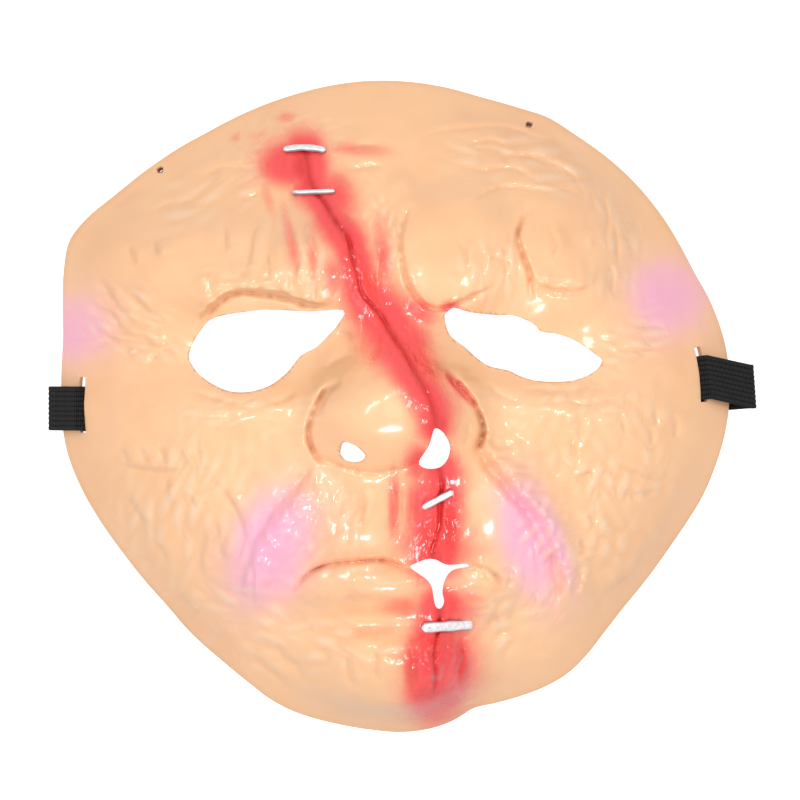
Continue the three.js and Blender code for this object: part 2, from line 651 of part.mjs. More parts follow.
// A staple's middle line: stretched over the wall's high spots like a taut string
function stapleLine(staple, steps) {
  const from = new THREE.Vector3(staple.from[0] * HALF_WIDTH, staple.from[1] * HALF_HEIGHT, 0);
  const to = new THREE.Vector3(staple.to[0] * HALF_WIDTH, staple.to[1] * HALF_HEIGHT, 0);
  const span = to.clone().sub(from);
  const sideways = new THREE.Vector3(-span.y, span.x, 0).multiplyScalar(staple.bow);
  const points = [];
  for (let step = 0; step <= steps; step += 1) {
    const t = step / steps;
    const point = from.clone().addScaledVector(span, t).addScaledVector(sideways, 4 * t * (1 - t));
    points.push(facePoint(point.x, point.y));
  }
  return points.map((point, i) => {
    let height = point.z;
    for (let a = 0; a < i; a += 1) {
      for (let b = i + 1; b <= steps; b += 1) {
        const chord = THREE.MathUtils.lerp(points[a].z, points[b].z, (i - a) / (b - a));
        height = Math.max(height, chord);
      }
    }
    return new THREE.Vector3(point.x, point.y, height);
  });
}

// A staple, or with room > 0 the seat that is cut for it in the wall
function stapleGeometry(staple, room = 0) {
  const steps = 12;
  const line = stapleLine(staple, steps);
  const middle = line[steps / 2];
  const normal = faceNormal(middle.x, middle.y);
  const halfWidth = (staple.width * STAPLE_WIDTH) / 2 + room;
  const halfThick = STAPLE_THICKNESS / 2 + room;
  const corners = 10;
  const sections = line.map((point, i) => {
    const before = line[Math.max(i - 1, 0)];
    const after = line[Math.min(i + 1, steps)];
    const along = after.clone().sub(before).normalize();
    const across = normal.clone().cross(along).normalize();
    const lift = along.clone().cross(across);
    const centre = point.clone().addScaledVector(lift, STAPLE_THICKNESS / 2 - STAPLE_SINK);
    const fromEnd = Math.min(i, steps - i);
    const taper = fromEnd === 0 ? 0.6 : 1;
    if (fromEnd === 0) {
      centre.addScaledVector(along, i === 0 ? -room : room);
    }
    const section = [];
    for (let corner = 0; corner < corners; corner += 1) {
      const angle = (2 * Math.PI * corner) / corners;
      const point3 = centre.clone().addScaledVector(across, Math.cos(angle) * halfWidth * taper);
      section.push(point3.addScaledVector(lift, Math.sin(angle) * halfThick * taper));
    }
    return section;
  });
  return skinOver(sections);
}

const wasm = await Module();
wasm.setup();

function toSolid(geometry) {
  const bare = geometry.clone();
  bare.deleteAttribute('normal');
  bare.deleteAttribute('uv');
  const merged = mergeVertices(bare, 1e-4);
  return new wasm.Manifold(new wasm.Mesh({
    numProp: 3,
    vertProperties: new Float32Array(merged.attributes.position.array),
    triVerts: new Uint32Array(merged.index.array),
  }));
}

function toGeometry(solid) {
  const mesh = solid.getMesh();
  return geometryFrom(Array.from(mesh.vertProperties), Array.from(mesh.triVerts));
}

function shellGeometry() {
  const cutters = [
    ...HOLES.map(({ rim }) => holeCutter(rim)),
    ...PIN_HOLES.map(pinCutter),
    ...SLOTS.map(slotCutter),
    ...STAPLES.map((staple) => stapleGeometry(staple, GAP)),
  ];
  let shell = toSolid(wallGeometry());
  for (const cutter of cutters) {
    shell = shell.subtract(toSolid(cutter));
  }
  return toGeometry(shell);
}

const skin = new THREE.MeshStandardMaterial({ color: 0xfecc9e, roughness: 0.35, metalness: 0 });
const silverPaint = new THREE.MeshStandardMaterial({ color: 0xe6e4e6, roughness: 0.35, metalness: 0.1 });
const elastic = new THREE.MeshStandardMaterial({ color: 0x292829, roughness: 0.9, metalness: 0 });

const group = new THREE.Group();

function addPiece(name, geometry, material) {
  geometry.computeVertexNormals();
  const mesh = new THREE.Mesh(geometry, material);
  mesh.name = name;
  group.add(mesh);
}

addPiece('mask_shell', shellGeometry(), skin);
for (const staple of STAPLES) {
  addPiece(staple.name, stapleGeometry(staple), silverPaint);
}
addPiece('elastic_strap', strapGeometry(), elastic);

export default group;
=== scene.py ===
import math

import bmesh
import bpy
import numpy as np
from mathutils import Matrix, Vector


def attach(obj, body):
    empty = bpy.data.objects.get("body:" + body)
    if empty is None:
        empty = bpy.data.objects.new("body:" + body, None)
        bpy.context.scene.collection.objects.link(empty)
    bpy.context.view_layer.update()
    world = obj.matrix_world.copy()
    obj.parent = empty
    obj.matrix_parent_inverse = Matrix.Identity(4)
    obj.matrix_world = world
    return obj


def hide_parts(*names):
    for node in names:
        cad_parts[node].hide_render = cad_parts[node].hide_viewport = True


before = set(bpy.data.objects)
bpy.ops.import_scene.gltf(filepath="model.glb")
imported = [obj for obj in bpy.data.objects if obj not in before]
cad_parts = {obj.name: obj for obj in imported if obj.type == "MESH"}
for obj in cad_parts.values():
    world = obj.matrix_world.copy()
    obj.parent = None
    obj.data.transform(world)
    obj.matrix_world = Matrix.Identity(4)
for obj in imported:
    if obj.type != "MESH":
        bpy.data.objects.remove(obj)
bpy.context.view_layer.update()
scene = bpy.context.scene


# Camera: straight above the face, as the photograph is, through a long lens.
# The photograph's frame is 262.8 mm wide where the face is 8 mm above its rim.
CAMERA_DISTANCE = 4.0
FRAME_WIDTH = 0.2628
FRAME_LEVEL = 0.008
FRAME_CENTRE = (-0.0008, 0.0021)
SENSOR_WIDTH = 36

camera_data = bpy.data.cameras.new("camera")
camera_data.sensor_width = SENSOR_WIDTH
camera_data.lens = SENSOR_WIDTH * CAMERA_DISTANCE / FRAME_WIDTH
camera_data.clip_end = 5 * CAMERA_DISTANCE
camera = bpy.data.objects.new("camera", camera_data)
camera.location = (*FRAME_CENTRE, FRAME_LEVEL + CAMERA_DISTANCE)
scene.collection.objects.link(camera)
scene.camera = camera


# The shell: one sheet of soft PVC, moulded over a sculpted face and trimmed nearly level at its
# rim. Its form is a bare dome, with mounds for nose, brows, cheeks and chin, with folds and
# the scar pressed into it, and with fine wrinkles over all.
MM = 0.001
FACE_WIDTH = 220 * MM
FACE_HEIGHT = 214 * MM
HALF_WIDTH = FACE_WIDTH / 2
HALF_HEIGHT = FACE_HEIGHT / 2
DOME_DEPTH = 54 * MM
DOME_POWER = 2.75
DOME_POWER_CHANGE = 0.45
RELIEF = 10 * MM
WALL = 1.2 * MM
# The rim bows up between its level feet, and the relief fades out in a band along it
RIM_WAVE = 4 * MM
RIM_WAVE_POWER = 1.5
RIM_FEET = 4
RIM_BAND = 0.1
# The wall's back has broader folds, by this share of half the width
BACK_SPREAD = 0.018

# In all tables of the shell, places are shares of half the face's width and height. Lengths
# are shares of half the width and heights are shares of RELIEF, unless it is said otherwise.
# The outline's rows give a direction in degrees anticlockwise from +X, and the rim's reach there.
OUTLINE = [
    (0, 0.976), (10, 0.984), (19, 0.977), (26, 0.966), (37, 0.973), (44, 0.978), (51, 0.981),
    (58, 0.983), (64, 0.99), (69, 0.983), (76, 0.98), (83, 0.99), (93, 1.003), (99, 1.008),
    (111, 1.014), (124, 1.025), (130, 1.039), (136, 1.055), (143, 1.079), (149, 1.11), (153, 1.119),
    (157, 1.1), (162, 1.069), (168, 1.038), (175, 1.024), (183, 1.018), (188, 1.012), (194, 0.995),
    (200, 0.975), (208, 0.951), (215, 0.939), (221, 0.934), (228, 0.942), (235, 0.95), (242, 0.968),
    (246, 0.983), (251, 0.993), (260, 0.996), (266, 0.999), (270, 1.001), (275, 0.993),
    (279, 0.977), (283, 0.952), (287, 0.954), (292, 0.959), (296, 0.962), (301, 0.959),
    (306, 0.942), (311, 0.921), (317, 0.906), (324, 0.904), (331, 0.909), (337, 0.922), (343, 0.94),
    (349, 0.954), (355, 0.968),
]


def oval(x, y, long, across, tilt=0, **more):
    """A soft oval on the face: its middle, its half lengths and its tilt in degrees."""
    return {"x": x, "y": y, "long": long, "across": across, "tilt": tilt, **more}


# A higher edge value gives a flatter top and a steeper edge
MOUNDS = {
    "nose_bridge": oval(-0.01, 0.19, 0.13, 0.21, tilt=10, height=0.7, edge=1),
    "nose_bulb": oval(-0.055, -0.02, 0.21, 0.17, height=1.6, edge=1.8),
    "nose_tip": oval(-0.08, -0.04, 0.13, 0.11, height=0.45, edge=1.2),
    "right_nostril_wing": oval(0.14, -0.04, 0.11, 0.16, tilt=6, height=0.85, edge=1.8),
    "left_brow": oval(-0.53, 0.445, 0.37, 0.14, tilt=-2, height=0.8, edge=1.6),
    "left_brow_inner": oval(-0.25, 0.445, 0.14, 0.15, height=0.45, edge=1.6),
    "right_brow_inner": oval(0.155, 0.475, 0.18, 0.19, height=0.85, edge=2.2),
    "right_brow_outer": oval(0.495, 0.495, 0.17, 0.19, tilt=10, height=0.7, edge=1.8),
    "right_forehead": oval(0.29, 0.735, 0.3, 0.13, tilt=-8, height=0.26, edge=1.2),
    "left_forehead": oval(-0.53, 0.68, 0.3, 0.13, tilt=25, height=0.22, edge=1.2),
    "forehead_flap": oval(-0.005, 0.65, 0.045, 0.06, height=0.22, edge=1.8),
    "left_socket": oval(-0.42, 0.165, 0.28, 0.13, tilt=6, height=-0.7, edge=1.3),
    "right_socket": oval(0.365, 0.175, 0.29, 0.13, tilt=-18, height=-0.7, edge=1.3),
    "frown": oval(-0.06, 0.35, 0.05, 0.1, tilt=20, height=-0.4, edge=1),
    "left_eye_bag": oval(-0.455, -0.01, 0.21, 0.07, height=0.24, edge=1.3),
    "right_eye_bag": oval(0.44, 0.01, 0.21, 0.06, tilt=-4, height=0.24, edge=1.3),
    "left_cheek": oval(-0.62, -0.07, 0.3, 0.2, height=0.4, edge=1.2),
    "right_cheek": oval(0.615, -0.12, 0.26, 0.24, height=0.4, edge=1.2),
    "left_jowl": oval(-0.605, -0.425, 0.18, 0.27, tilt=22, height=0.35, edge=1.3),
    "right_jowl": oval(0.655, -0.425, 0.15, 0.25, tilt=-25, height=0.35, edge=1.3),
    "left_laugh_fold": oval(-0.4, -0.425, 0.11, 0.21, tilt=-25, height=0.45, edge=1.5),
    "right_laugh_fold": oval(0.38, -0.38, 0.1, 0.23, tilt=25, height=0.5, edge=1.5),
    "left_muzzle": oval(-0.155, -0.335, 0.17, 0.15, height=0.55, edge=1.4),
    "right_muzzle": oval(0.215, -0.335, 0.12, 0.19, tilt=8, height=0.5, edge=1.4),
    "left_lip": oval(-0.105, -0.55, 0.2, 0.06, tilt=4, height=0.55, edge=1.5),
    "right_lip": oval(0.235, -0.565, 0.1, 0.08, tilt=-12, height=0.35, edge=1.4),
    "mouth": oval(0.065, -0.49, 0.36, 0.04, height=-0.2, edge=1),
    "under_lip": oval(-0.03, -0.67, 0.29, 0.05, tilt=-3, height=-0.4, edge=1.1),
    "chin": oval(-0.015, -0.82, 0.24, 0.16, height=1.4, edge=1.7),
    "left_mouth_corner": oval(-0.355, -0.57, 0.06, 0.07, height=-0.25, edge=1),
    "right_mouth_corner": oval(0.335, -0.61, 0.07, 0.07, height=-0.25, edge=1),
}

# Left and right lips are as seen when travelling along the path, and reach is how far they
# spread from it. A fold fades out over a share of its way at each end, and is uneven in lumps.
# Each fold's last value is how much brown painted shade lies in its groove.
FOLD_FADE = 0.22
FOLD_UNEVEN = 0.22
FOLD_LUMPS = 2.3 * MM
FOLD_LUMPS_TURN = 0.8
FOLDS = {
    "left_laugh_line": {
        "depth": 0.12, "width": 0.021, "left_lip": 0.45, "right_lip": 0, "reach": 0.11, "painted_shade": 0.1,
        "path": [
            (-0.26, -0.15), (-0.305, -0.225), (-0.38, -0.31), (-0.445, -0.41), (-0.48, -0.525),
            (-0.485, -0.63),
        ],
    },
    "right_laugh_line": {
        "depth": 0.3, "width": 0.018, "left_lip": 0.5, "right_lip": 0, "reach": 0.1, "painted_shade": 0.4,
        "path": [
            (0.205, -0.065), (0.24, -0.15), (0.305, -0.24), (0.38, -0.33), (0.43, -0.425),
            (0.46, -0.535), (0.445, -0.655),
        ],
    },
    "left_nostril_fold": {
        "depth": 0.34, "width": 0.009, "left_lip": 0, "right_lip": 0.1, "reach": 0.06, "painted_shade": 0.8,
        "path": [
            (-0.18, 0.08), (-0.23, 0.04), (-0.265, -0.015), (-0.275, -0.09), (-0.26, -0.15),
            (-0.215, -0.185),
        ],
    },
    "right_nostril_fold": {
        "depth": 0.4, "width": 0.0095, "left_lip": 0.12, "right_lip": 0, "reach": 0.06, "painted_shade": 1,
        "path": [
            (0.12, 0.105), (0.17, 0.07), (0.21, 0.015), (0.235, -0.055), (0.23, -0.115),
            (0.205, -0.16),
        ],
    },
    "under_nose": {
        "depth": 0.2, "width": 0.011, "left_lip": 0, "right_lip": 0, "reach": 0.04, "painted_shade": 0.35,
        "path": [
            (-0.265, -0.15), (-0.2, -0.175), (-0.12, -0.195), (-0.03, -0.195), (0.035, -0.17),
            (0.065, -0.14),
        ],
    },
    "left_mouth_line": {
        "depth": 0.28, "width": 0.007, "left_lip": 0, "right_lip": 0.12, "reach": 0.05, "painted_shade": 0.6,
        "path": [
            (-0.34, -0.59), (-0.305, -0.535), (-0.24, -0.49), (-0.155, -0.47), (-0.075, -0.47),
            (-0.015, -0.48), (0.04, -0.495),
        ],
    },
    "right_mouth_line": {
        "depth": 0.22, "width": 0.009, "left_lip": 0.06, "right_lip": 0, "reach": 0.03, "painted_shade": 0.4,
        "path": [
            (0.18, -0.485), (0.225, -0.49), (0.275, -0.515), (0.305, -0.565),
        ],
    },
    "left_lid": {
        "depth": 0.26, "width": 0.01, "left_lip": 0.42, "right_lip": 0, "reach": 0.08, "painted_shade": 0.6,
        "path": [
            (-0.62, 0.235), (-0.576, 0.282), (-0.515, 0.332), (-0.454, 0.346), (-0.373, 0.334),
            (-0.312, 0.313), (-0.271, 0.305), (-0.181, 0.303),
        ],
    },
    "right_brow_edge": {
        "depth": 0.22, "width": 0.008, "left_lip": 0.1, "right_lip": 0, "reach": 0.05, "painted_shade": 0.35,
        "path": [
            (0.04, 0.635), (0, 0.565), (-0.005, 0.48), (0.005, 0.395), (0.05, 0.325), (0.11, 0.295),
            (0.18, 0.315), (0.24, 0.35), (0.305, 0.375),
        ],
    },
    "right_brow_split": {
        "depth": 0.26, "width": 0.008, "left_lip": 0.16, "right_lip": 0, "reach": 0.05, "painted_shade": 0.5,
        "path": [
            (0.37, 0.61), (0.345, 0.53), (0.355, 0.46), (0.38, 0.395), (0.38, 0.32),
        ],
    },
    "right_brow_under": {
        "depth": 0.1, "width": 0.013, "left_lip": 0.2, "right_lip": 0, "reach": 0.07, "painted_shade": 0.15,
        "path": [
            (0.38, 0.38), (0.435, 0.35), (0.505, 0.345), (0.585, 0.37),
        ],
    },
    "scar_upper": {
        "depth": 0.11, "width": 0.0075, "left_lip": 0.13, "right_lip": 0.11, "reach": 0.018, "painted_shade": 0,
        "path": [
            (-0.295, 0.78), (-0.265, 0.675), (-0.235, 0.625), (-0.2, 0.56), (-0.155, 0.495),
            (-0.125, 0.365), (-0.09, 0.31), (-0.045, 0.245), (0.005, 0.165), (0.05, 0.075),
            (0.085, 0.015), (0.095, -0.055),
        ],
    },
    "scar_upper_lip": {
        "depth": 0.12, "width": 0.0075, "left_lip": 0.13, "right_lip": 0.12, "reach": 0.018, "painted_shade": 0,
        "path": [
            (0.105, -0.19), (0.12, -0.245), (0.11, -0.305), (0.105, -0.375), (0.09, -0.435),
            (0.095, -0.47),
        ],
    },
    "scar_chin": {
        "depth": 0.11, "width": 0.0075, "left_lip": 0.1, "right_lip": 0.1, "reach": 0.02, "painted_shade": 0,
        "path": [
            (0.11, -0.605), (0.105, -0.67), (0.1, -0.735), (0.095, -0.805), (0.095, -0.88),
        ],
    },
    "lip_groove": {
        "depth": 0.2, "width": 0.013, "left_lip": 0.08, "right_lip": 0, "reach": 0.045, "painted_shade": 0.1,
        "path": [
            (-0.005, -0.22), (-0.01, -0.285), (-0.02, -0.355), (-0.03, -0.425),
        ],
    },
}

# Wrinkles are narrow folds with a lip on one side only. These counts of a group's lip and width
# give the lip's height and reach.
WRINKLE_LIP = 1.8
WRINKLE_REACH = 3.5
WRINKLE_FADE = 0.35
WRINKLES = {
    "right_forehead": {"depth": 0.06, "width": 0.01, "lip": 0.085, "paths": [
        [(0.025, 0.81), (0.082, 0.834), (0.181, 0.846), (0.252, 0.859), (0.321, 0.849), (0.413, 0.825),
         (0.482, 0.794), (0.551, 0.745), (0.578, 0.696)],
        [(0.151, 0.773), (0.216, 0.785), (0.279, 0.782), (0.336, 0.77), (0.399, 0.757), (0.482, 0.727),
         (0.518, 0.684), (0.572, 0.625)],
        [(0.172, 0.705), (0.19, 0.727), (0.252, 0.717), (0.327, 0.727), (0.381, 0.702), (0.434, 0.684)],
        [(0.181, 0.588), (0.207, 0.616), (0.261, 0.656), (0.336, 0.665), (0.425, 0.659),
         (0.494, 0.656), (0.563, 0.631)],
        [(0.181, 0.791), (0.216, 0.806), (0.27, 0.81), (0.327, 0.794)],
    ]},
    "right_brow": {"depth": 0.06, "width": 0.008, "lip": 0.06, "paths": [
        [(0.172, 0.508), (0.184, 0.465), (0.181, 0.419)],
        [(0.237, 0.49), (0.246, 0.444), (0.234, 0.395)],
        [(0.321, 0.551), (0.312, 0.475), (0.297, 0.429)],
        [(0.252, 0.441), (0.279, 0.45), (0.306, 0.432), (0.3, 0.389)],
        [(0.434, 0.542), (0.455, 0.493), (0.446, 0.444)],
    ]},
    "left_brow": {"depth": 0.06, "width": 0.009, "lip": 0.07, "paths": [
        [(-0.446, 0.598), (-0.434, 0.564), (-0.443, 0.505), (-0.458, 0.453), (-0.467, 0.392),
         (-0.464, 0.364)],
        [(-0.401, 0.475), (-0.396, 0.425), (-0.404, 0.37)],
        [(-0.378, 0.591), (-0.336, 0.558), (-0.315, 0.505), (-0.309, 0.456), (-0.321, 0.404),
         (-0.33, 0.352)],
        [(-0.303, 0.582), (-0.279, 0.475), (-0.264, 0.404), (-0.258, 0.346)],
        [(-0.566, 0.339), (-0.578, 0.379), (-0.566, 0.425)],
        [(-0.539, 0.567), (-0.521, 0.512), (-0.527, 0.444)],
    ]},
    "left_forehead": {"depth": 0.07, "width": 0.011, "lip": 0.04, "paths": [
        [(-0.61, 0.699), (-0.566, 0.717), (-0.509, 0.73), (-0.437, 0.72)],
        [(-0.509, 0.656), (-0.464, 0.637), (-0.416, 0.65), (-0.384, 0.641)],
        [(-0.452, 0.751), (-0.41, 0.705), (-0.39, 0.659)],
        [(-0.867, 0.598), (-0.804, 0.647), (-0.724, 0.684)],
        [(-0.754, 0.588), (-0.688, 0.619), (-0.604, 0.634)],
        [(-0.187, 0.788), (-0.121, 0.797), (-0.055, 0.788)],
        [(-0.172, 0.72), (-0.103, 0.733), (-0.043, 0.72)],
    ]},
    "left_temple": {"depth": 0.08, "width": 0.009, "lip": 0.09, "paths": [
        [(-0.903, 0.41), (-0.873, 0.346), (-0.834, 0.287), (-0.784, 0.253), (-0.748, 0.247)],
        [(-0.816, 0.358), (-0.772, 0.312), (-0.721, 0.257)],
        [(-0.966, 0.339), (-0.909, 0.306), (-0.861, 0.269), (-0.828, 0.229), (-0.772, 0.207),
         (-0.679, 0.186)],
        [(-0.948, 0.241), (-0.909, 0.229), (-0.861, 0.204), (-0.796, 0.198), (-0.736, 0.189),
         (-0.679, 0.183)],
        [(-1.004, 0.177), (-0.921, 0.18), (-0.858, 0.198)],
        [(-0.822, 0.164), (-0.804, 0.152), (-0.778, 0.171)],
        [(-0.766, 0.127), (-0.727, 0.158), (-0.679, 0.161)],
        [(-0.816, 0.493), (-0.801, 0.462), (-0.79, 0.429)],
        [(-0.736, 0.512), (-0.73, 0.481), (-0.727, 0.453)],
    ]},
    "under_eyes": {"depth": 0.07, "width": 0.012, "lip": 0.04, "paths": [
        [(-0.634, 0.069), (-0.604, 0.038), (-0.566, 0.023), (-0.509, 0.011), (-0.449, 0.008)],
        [(-0.234, 0.112), (-0.196, 0.14), (-0.142, 0.152)],
        [(-0.196, 0.229), (-0.166, 0.217), (-0.148, 0.198)],
        [(0.33, 0.051), (0.425, 0.045), (0.524, 0.051), (0.569, 0.072)],
        [(-0.306, 0.057), (-0.348, 0.02), (-0.401, -0.005)],
        [(0.24, 0.069), (0.291, 0.032), (0.351, 0.014)],
    ]},
    "left_cheek": {"depth": 0.05, "width": 0.01, "lip": 0.07, "paths": [
        [(-0.867, -0.171), (-0.819, -0.183), (-0.784, -0.186), (-0.736, -0.195), (-0.691, -0.201),
         (-0.631, -0.195)],
        [(-0.837, -0.124), (-0.819, -0.152), (-0.813, -0.183)],
        [(-0.778, -0.121), (-0.766, -0.152), (-0.763, -0.183)],
        [(-0.724, -0.121), (-0.712, -0.152), (-0.706, -0.189)],
        [(-0.661, -0.121), (-0.652, -0.158), (-0.655, -0.189)],
        [(-0.604, -0.121), (-0.596, -0.158), (-0.61, -0.189)],
        [(-0.676, -0.21), (-0.694, -0.235), (-0.7, -0.272), (-0.697, -0.318)],
        [(-0.625, -0.263), (-0.616, -0.306), (-0.599, -0.324)],
        [(-0.599, -0.352), (-0.59, -0.404), (-0.596, -0.45), (-0.599, -0.496), (-0.593, -0.53),
         (-0.587, -0.555)],
        [(-0.56, -0.343), (-0.554, -0.386), (-0.569, -0.425)],
        [(-0.521, -0.395), (-0.536, -0.432), (-0.536, -0.475)],
        [(-0.742, -0.404), (-0.718, -0.441), (-0.706, -0.49)],
        [(-0.822, -0.263), (-0.787, -0.327), (-0.766, -0.379)],
        [(-0.676, -0.564), (-0.64, -0.607), (-0.593, -0.644)],
    ]},
    "left_laugh": {"depth": 0.07, "width": 0.011, "lip": 0.1, "paths": [
        [(-0.578, -0.214), (-0.53, -0.257), (-0.494, -0.318), (-0.476, -0.355), (-0.467, -0.395),
         (-0.485, -0.441), (-0.512, -0.478), (-0.521, -0.512)],
        [(-0.276, -0.158), (-0.279, -0.192), (-0.297, -0.235), (-0.33, -0.281), (-0.366, -0.333)],
        [(-0.44, -0.487), (-0.443, -0.545), (-0.449, -0.601), (-0.452, -0.619)],
    ]},
    "right_cheek": {"depth": 0.08, "width": 0.011, "lip": 0.05, "paths": [
        [(0.518, -0.029), (0.53, -0.088), (0.524, -0.127)],
        [(0.497, -0.088), (0.509, -0.137), (0.5, -0.177)],
        [(0.637, -0.011), (0.655, -0.066), (0.649, -0.103)],
        [(0.736, -0.011), (0.751, -0.029), (0.754, -0.066)],
        [(0.796, -0.02), (0.816, -0.066), (0.81, -0.103)],
        [(0.73, -0.06), (0.742, -0.088), (0.739, -0.127)],
        [(0.509, -0.235), (0.548, -0.204), (0.563, -0.235), (0.569, -0.266)],
        [(0.622, -0.174), (0.697, -0.204), (0.772, -0.22), (0.816, -0.189)],
        [(0.628, -0.266), (0.697, -0.269), (0.787, -0.253)],
        [(0.566, -0.275), (0.569, -0.318), (0.563, -0.358)],
        [(0.527, -0.401), (0.542, -0.435), (0.533, -0.459)],
        [(0.607, -0.582), (0.646, -0.545), (0.673, -0.502)],
        [(0.47, 0.02), (0.56, 0.008), (0.655, 0.026)],
    ]},
    "right_laugh": {"depth": 0.08, "width": 0.011, "lip": 0.11, "paths": [
        [(0.201, 0.029), (0.225, -0.029), (0.231, -0.088), (0.231, -0.137), (0.255, -0.189),
         (0.3, -0.244), (0.351, -0.306), (0.39, -0.367), (0.413, -0.429), (0.419, -0.478),
         (0.419, -0.521)],
        [(0.518, -0.493), (0.527, -0.539), (0.506, -0.585)],
        [(0.306, -0.478), (0.321, -0.521), (0.3, -0.57)],
        [(0.39, -0.555), (0.381, -0.594), (0.354, -0.625)],
        [(0.201, -0.499), (0.24, -0.515), (0.267, -0.545)],
    ]},
    "right_temple": {"depth": 0.07, "width": 0.01, "lip": 0.04, "paths": [
        [(0.596, 0.647), (0.61, 0.573), (0.607, 0.493)],
        [(0.625, 0.573), (0.64, 0.493), (0.637, 0.419)],
        [(0.604, 0.444), (0.625, 0.395), (0.622, 0.327)],
        [(0.679, 0.235), (0.733, 0.247), (0.793, 0.235)],
        [(0.625, 0.174), (0.691, 0.167), (0.757, 0.186)],
    ]},
    "upper_lip": {"depth": 0.09, "width": 0.012, "lip": 0.05, "paths": [
        [(-0.043, -0.22), (-0.034, -0.287), (-0.037, -0.349), (-0.049, -0.404)],
        [(-0.127, -0.232), (-0.118, -0.303), (-0.133, -0.379)],
        [(0.028, -0.226), (0.034, -0.303), (0.022, -0.379)],
        [(0.163, -0.263), (0.175, -0.333), (0.166, -0.41)],
        [(-0.24, -0.287), (-0.258, -0.364), (-0.288, -0.435)],
    ]},
    "chin": {"depth": 0.09, "width": 0.014, "lip": 0.05, "paths": [
        [(-0.201, -0.601), (-0.127, -0.582), (-0.052, -0.588), (0.007, -0.616)],
        [(-0.306, -0.693), (-0.252, -0.674), (-0.187, -0.687)],
        [(-0.151, -0.742), (-0.163, -0.803), (-0.139, -0.871)],
        [(-0.073, -0.717), (-0.085, -0.779), (-0.067, -0.853)],
        [(0.201, -0.717), (0.213, -0.779), (0.19, -0.846)],
        [(0.237, -0.631), (0.279, -0.662), (0.297, -0.717)],
        [(-0.396, -0.717), (-0.336, -0.779), (-0.276, -0.828)],
        [(-0.461, -0.754), (-0.396, -0.816), (-0.318, -0.871)],
        [(-0.067, -0.754), (-0.019, -0.773), (0.022, -0.754)],
    ]},
    "nose": {"depth": 0.05, "width": 0.012, "lip": 0.03, "paths": [
        [(-0.216, 0.045), (-0.24, 0.008), (-0.252, -0.041)],
        [(-0.091, 0.327), (-0.055, 0.303), (-0.013, 0.309)],
        [(-0.067, 0.235), (-0.079, 0.174), (-0.109, 0.124)],
        [(0.187, -0.041), (0.196, -0.084), (0.178, -0.121)],
        [(0.022, 0.106), (0.046, 0.057), (0.082, 0.02)],
    ]},
    "scar_upper_sides": {"depth": 0.08, "width": 0.01, "lip": 0.05, "paths": [
        [(-0.321, 0.604), (-0.297, 0.555), (-0.285, 0.493), (-0.258, 0.444), (-0.258, 0.395)],
        [(-0.052, 0.536), (-0.067, 0.462), (-0.073, 0.395), (-0.067, 0.327)],
        [(-0.187, 0.634), (-0.157, 0.591), (-0.139, 0.542)],
        [(-0.342, 0.708), (-0.324, 0.665), (-0.318, 0.619)],
        [(-0.216, 0.72), (-0.175, 0.696), (-0.151, 0.653)],
    ]},
    "scar_chin_sides": {"depth": 0.1, "width": 0.013, "lip": 0.06, "paths": [
        [(0.04, -0.662), (0.028, -0.733), (0.04, -0.803), (0.028, -0.883)],
        [(0.166, -0.687), (0.178, -0.748), (0.166, -0.816), (0.172, -0.877)],
        [(0.064, -0.748), (0.094, -0.757), (0.13, -0.748)],
        [(0.058, -0.828), (0.094, -0.84), (0.136, -0.828)],
    ]},
}

# Low swellings all over the sculpted skin
SWELLS = [
    {"size": 17 * MM, "height": 0.35 * MM, "turn": 23},
    {"size": 11 * MM, "height": 0.28 * MM, "turn": 97},
    {"size": 7.3 * MM, "height": 0.2 * MM, "turn": 166},
    {"size": 4.6 * MM, "height": 0.13 * MM, "turn": 235},
]

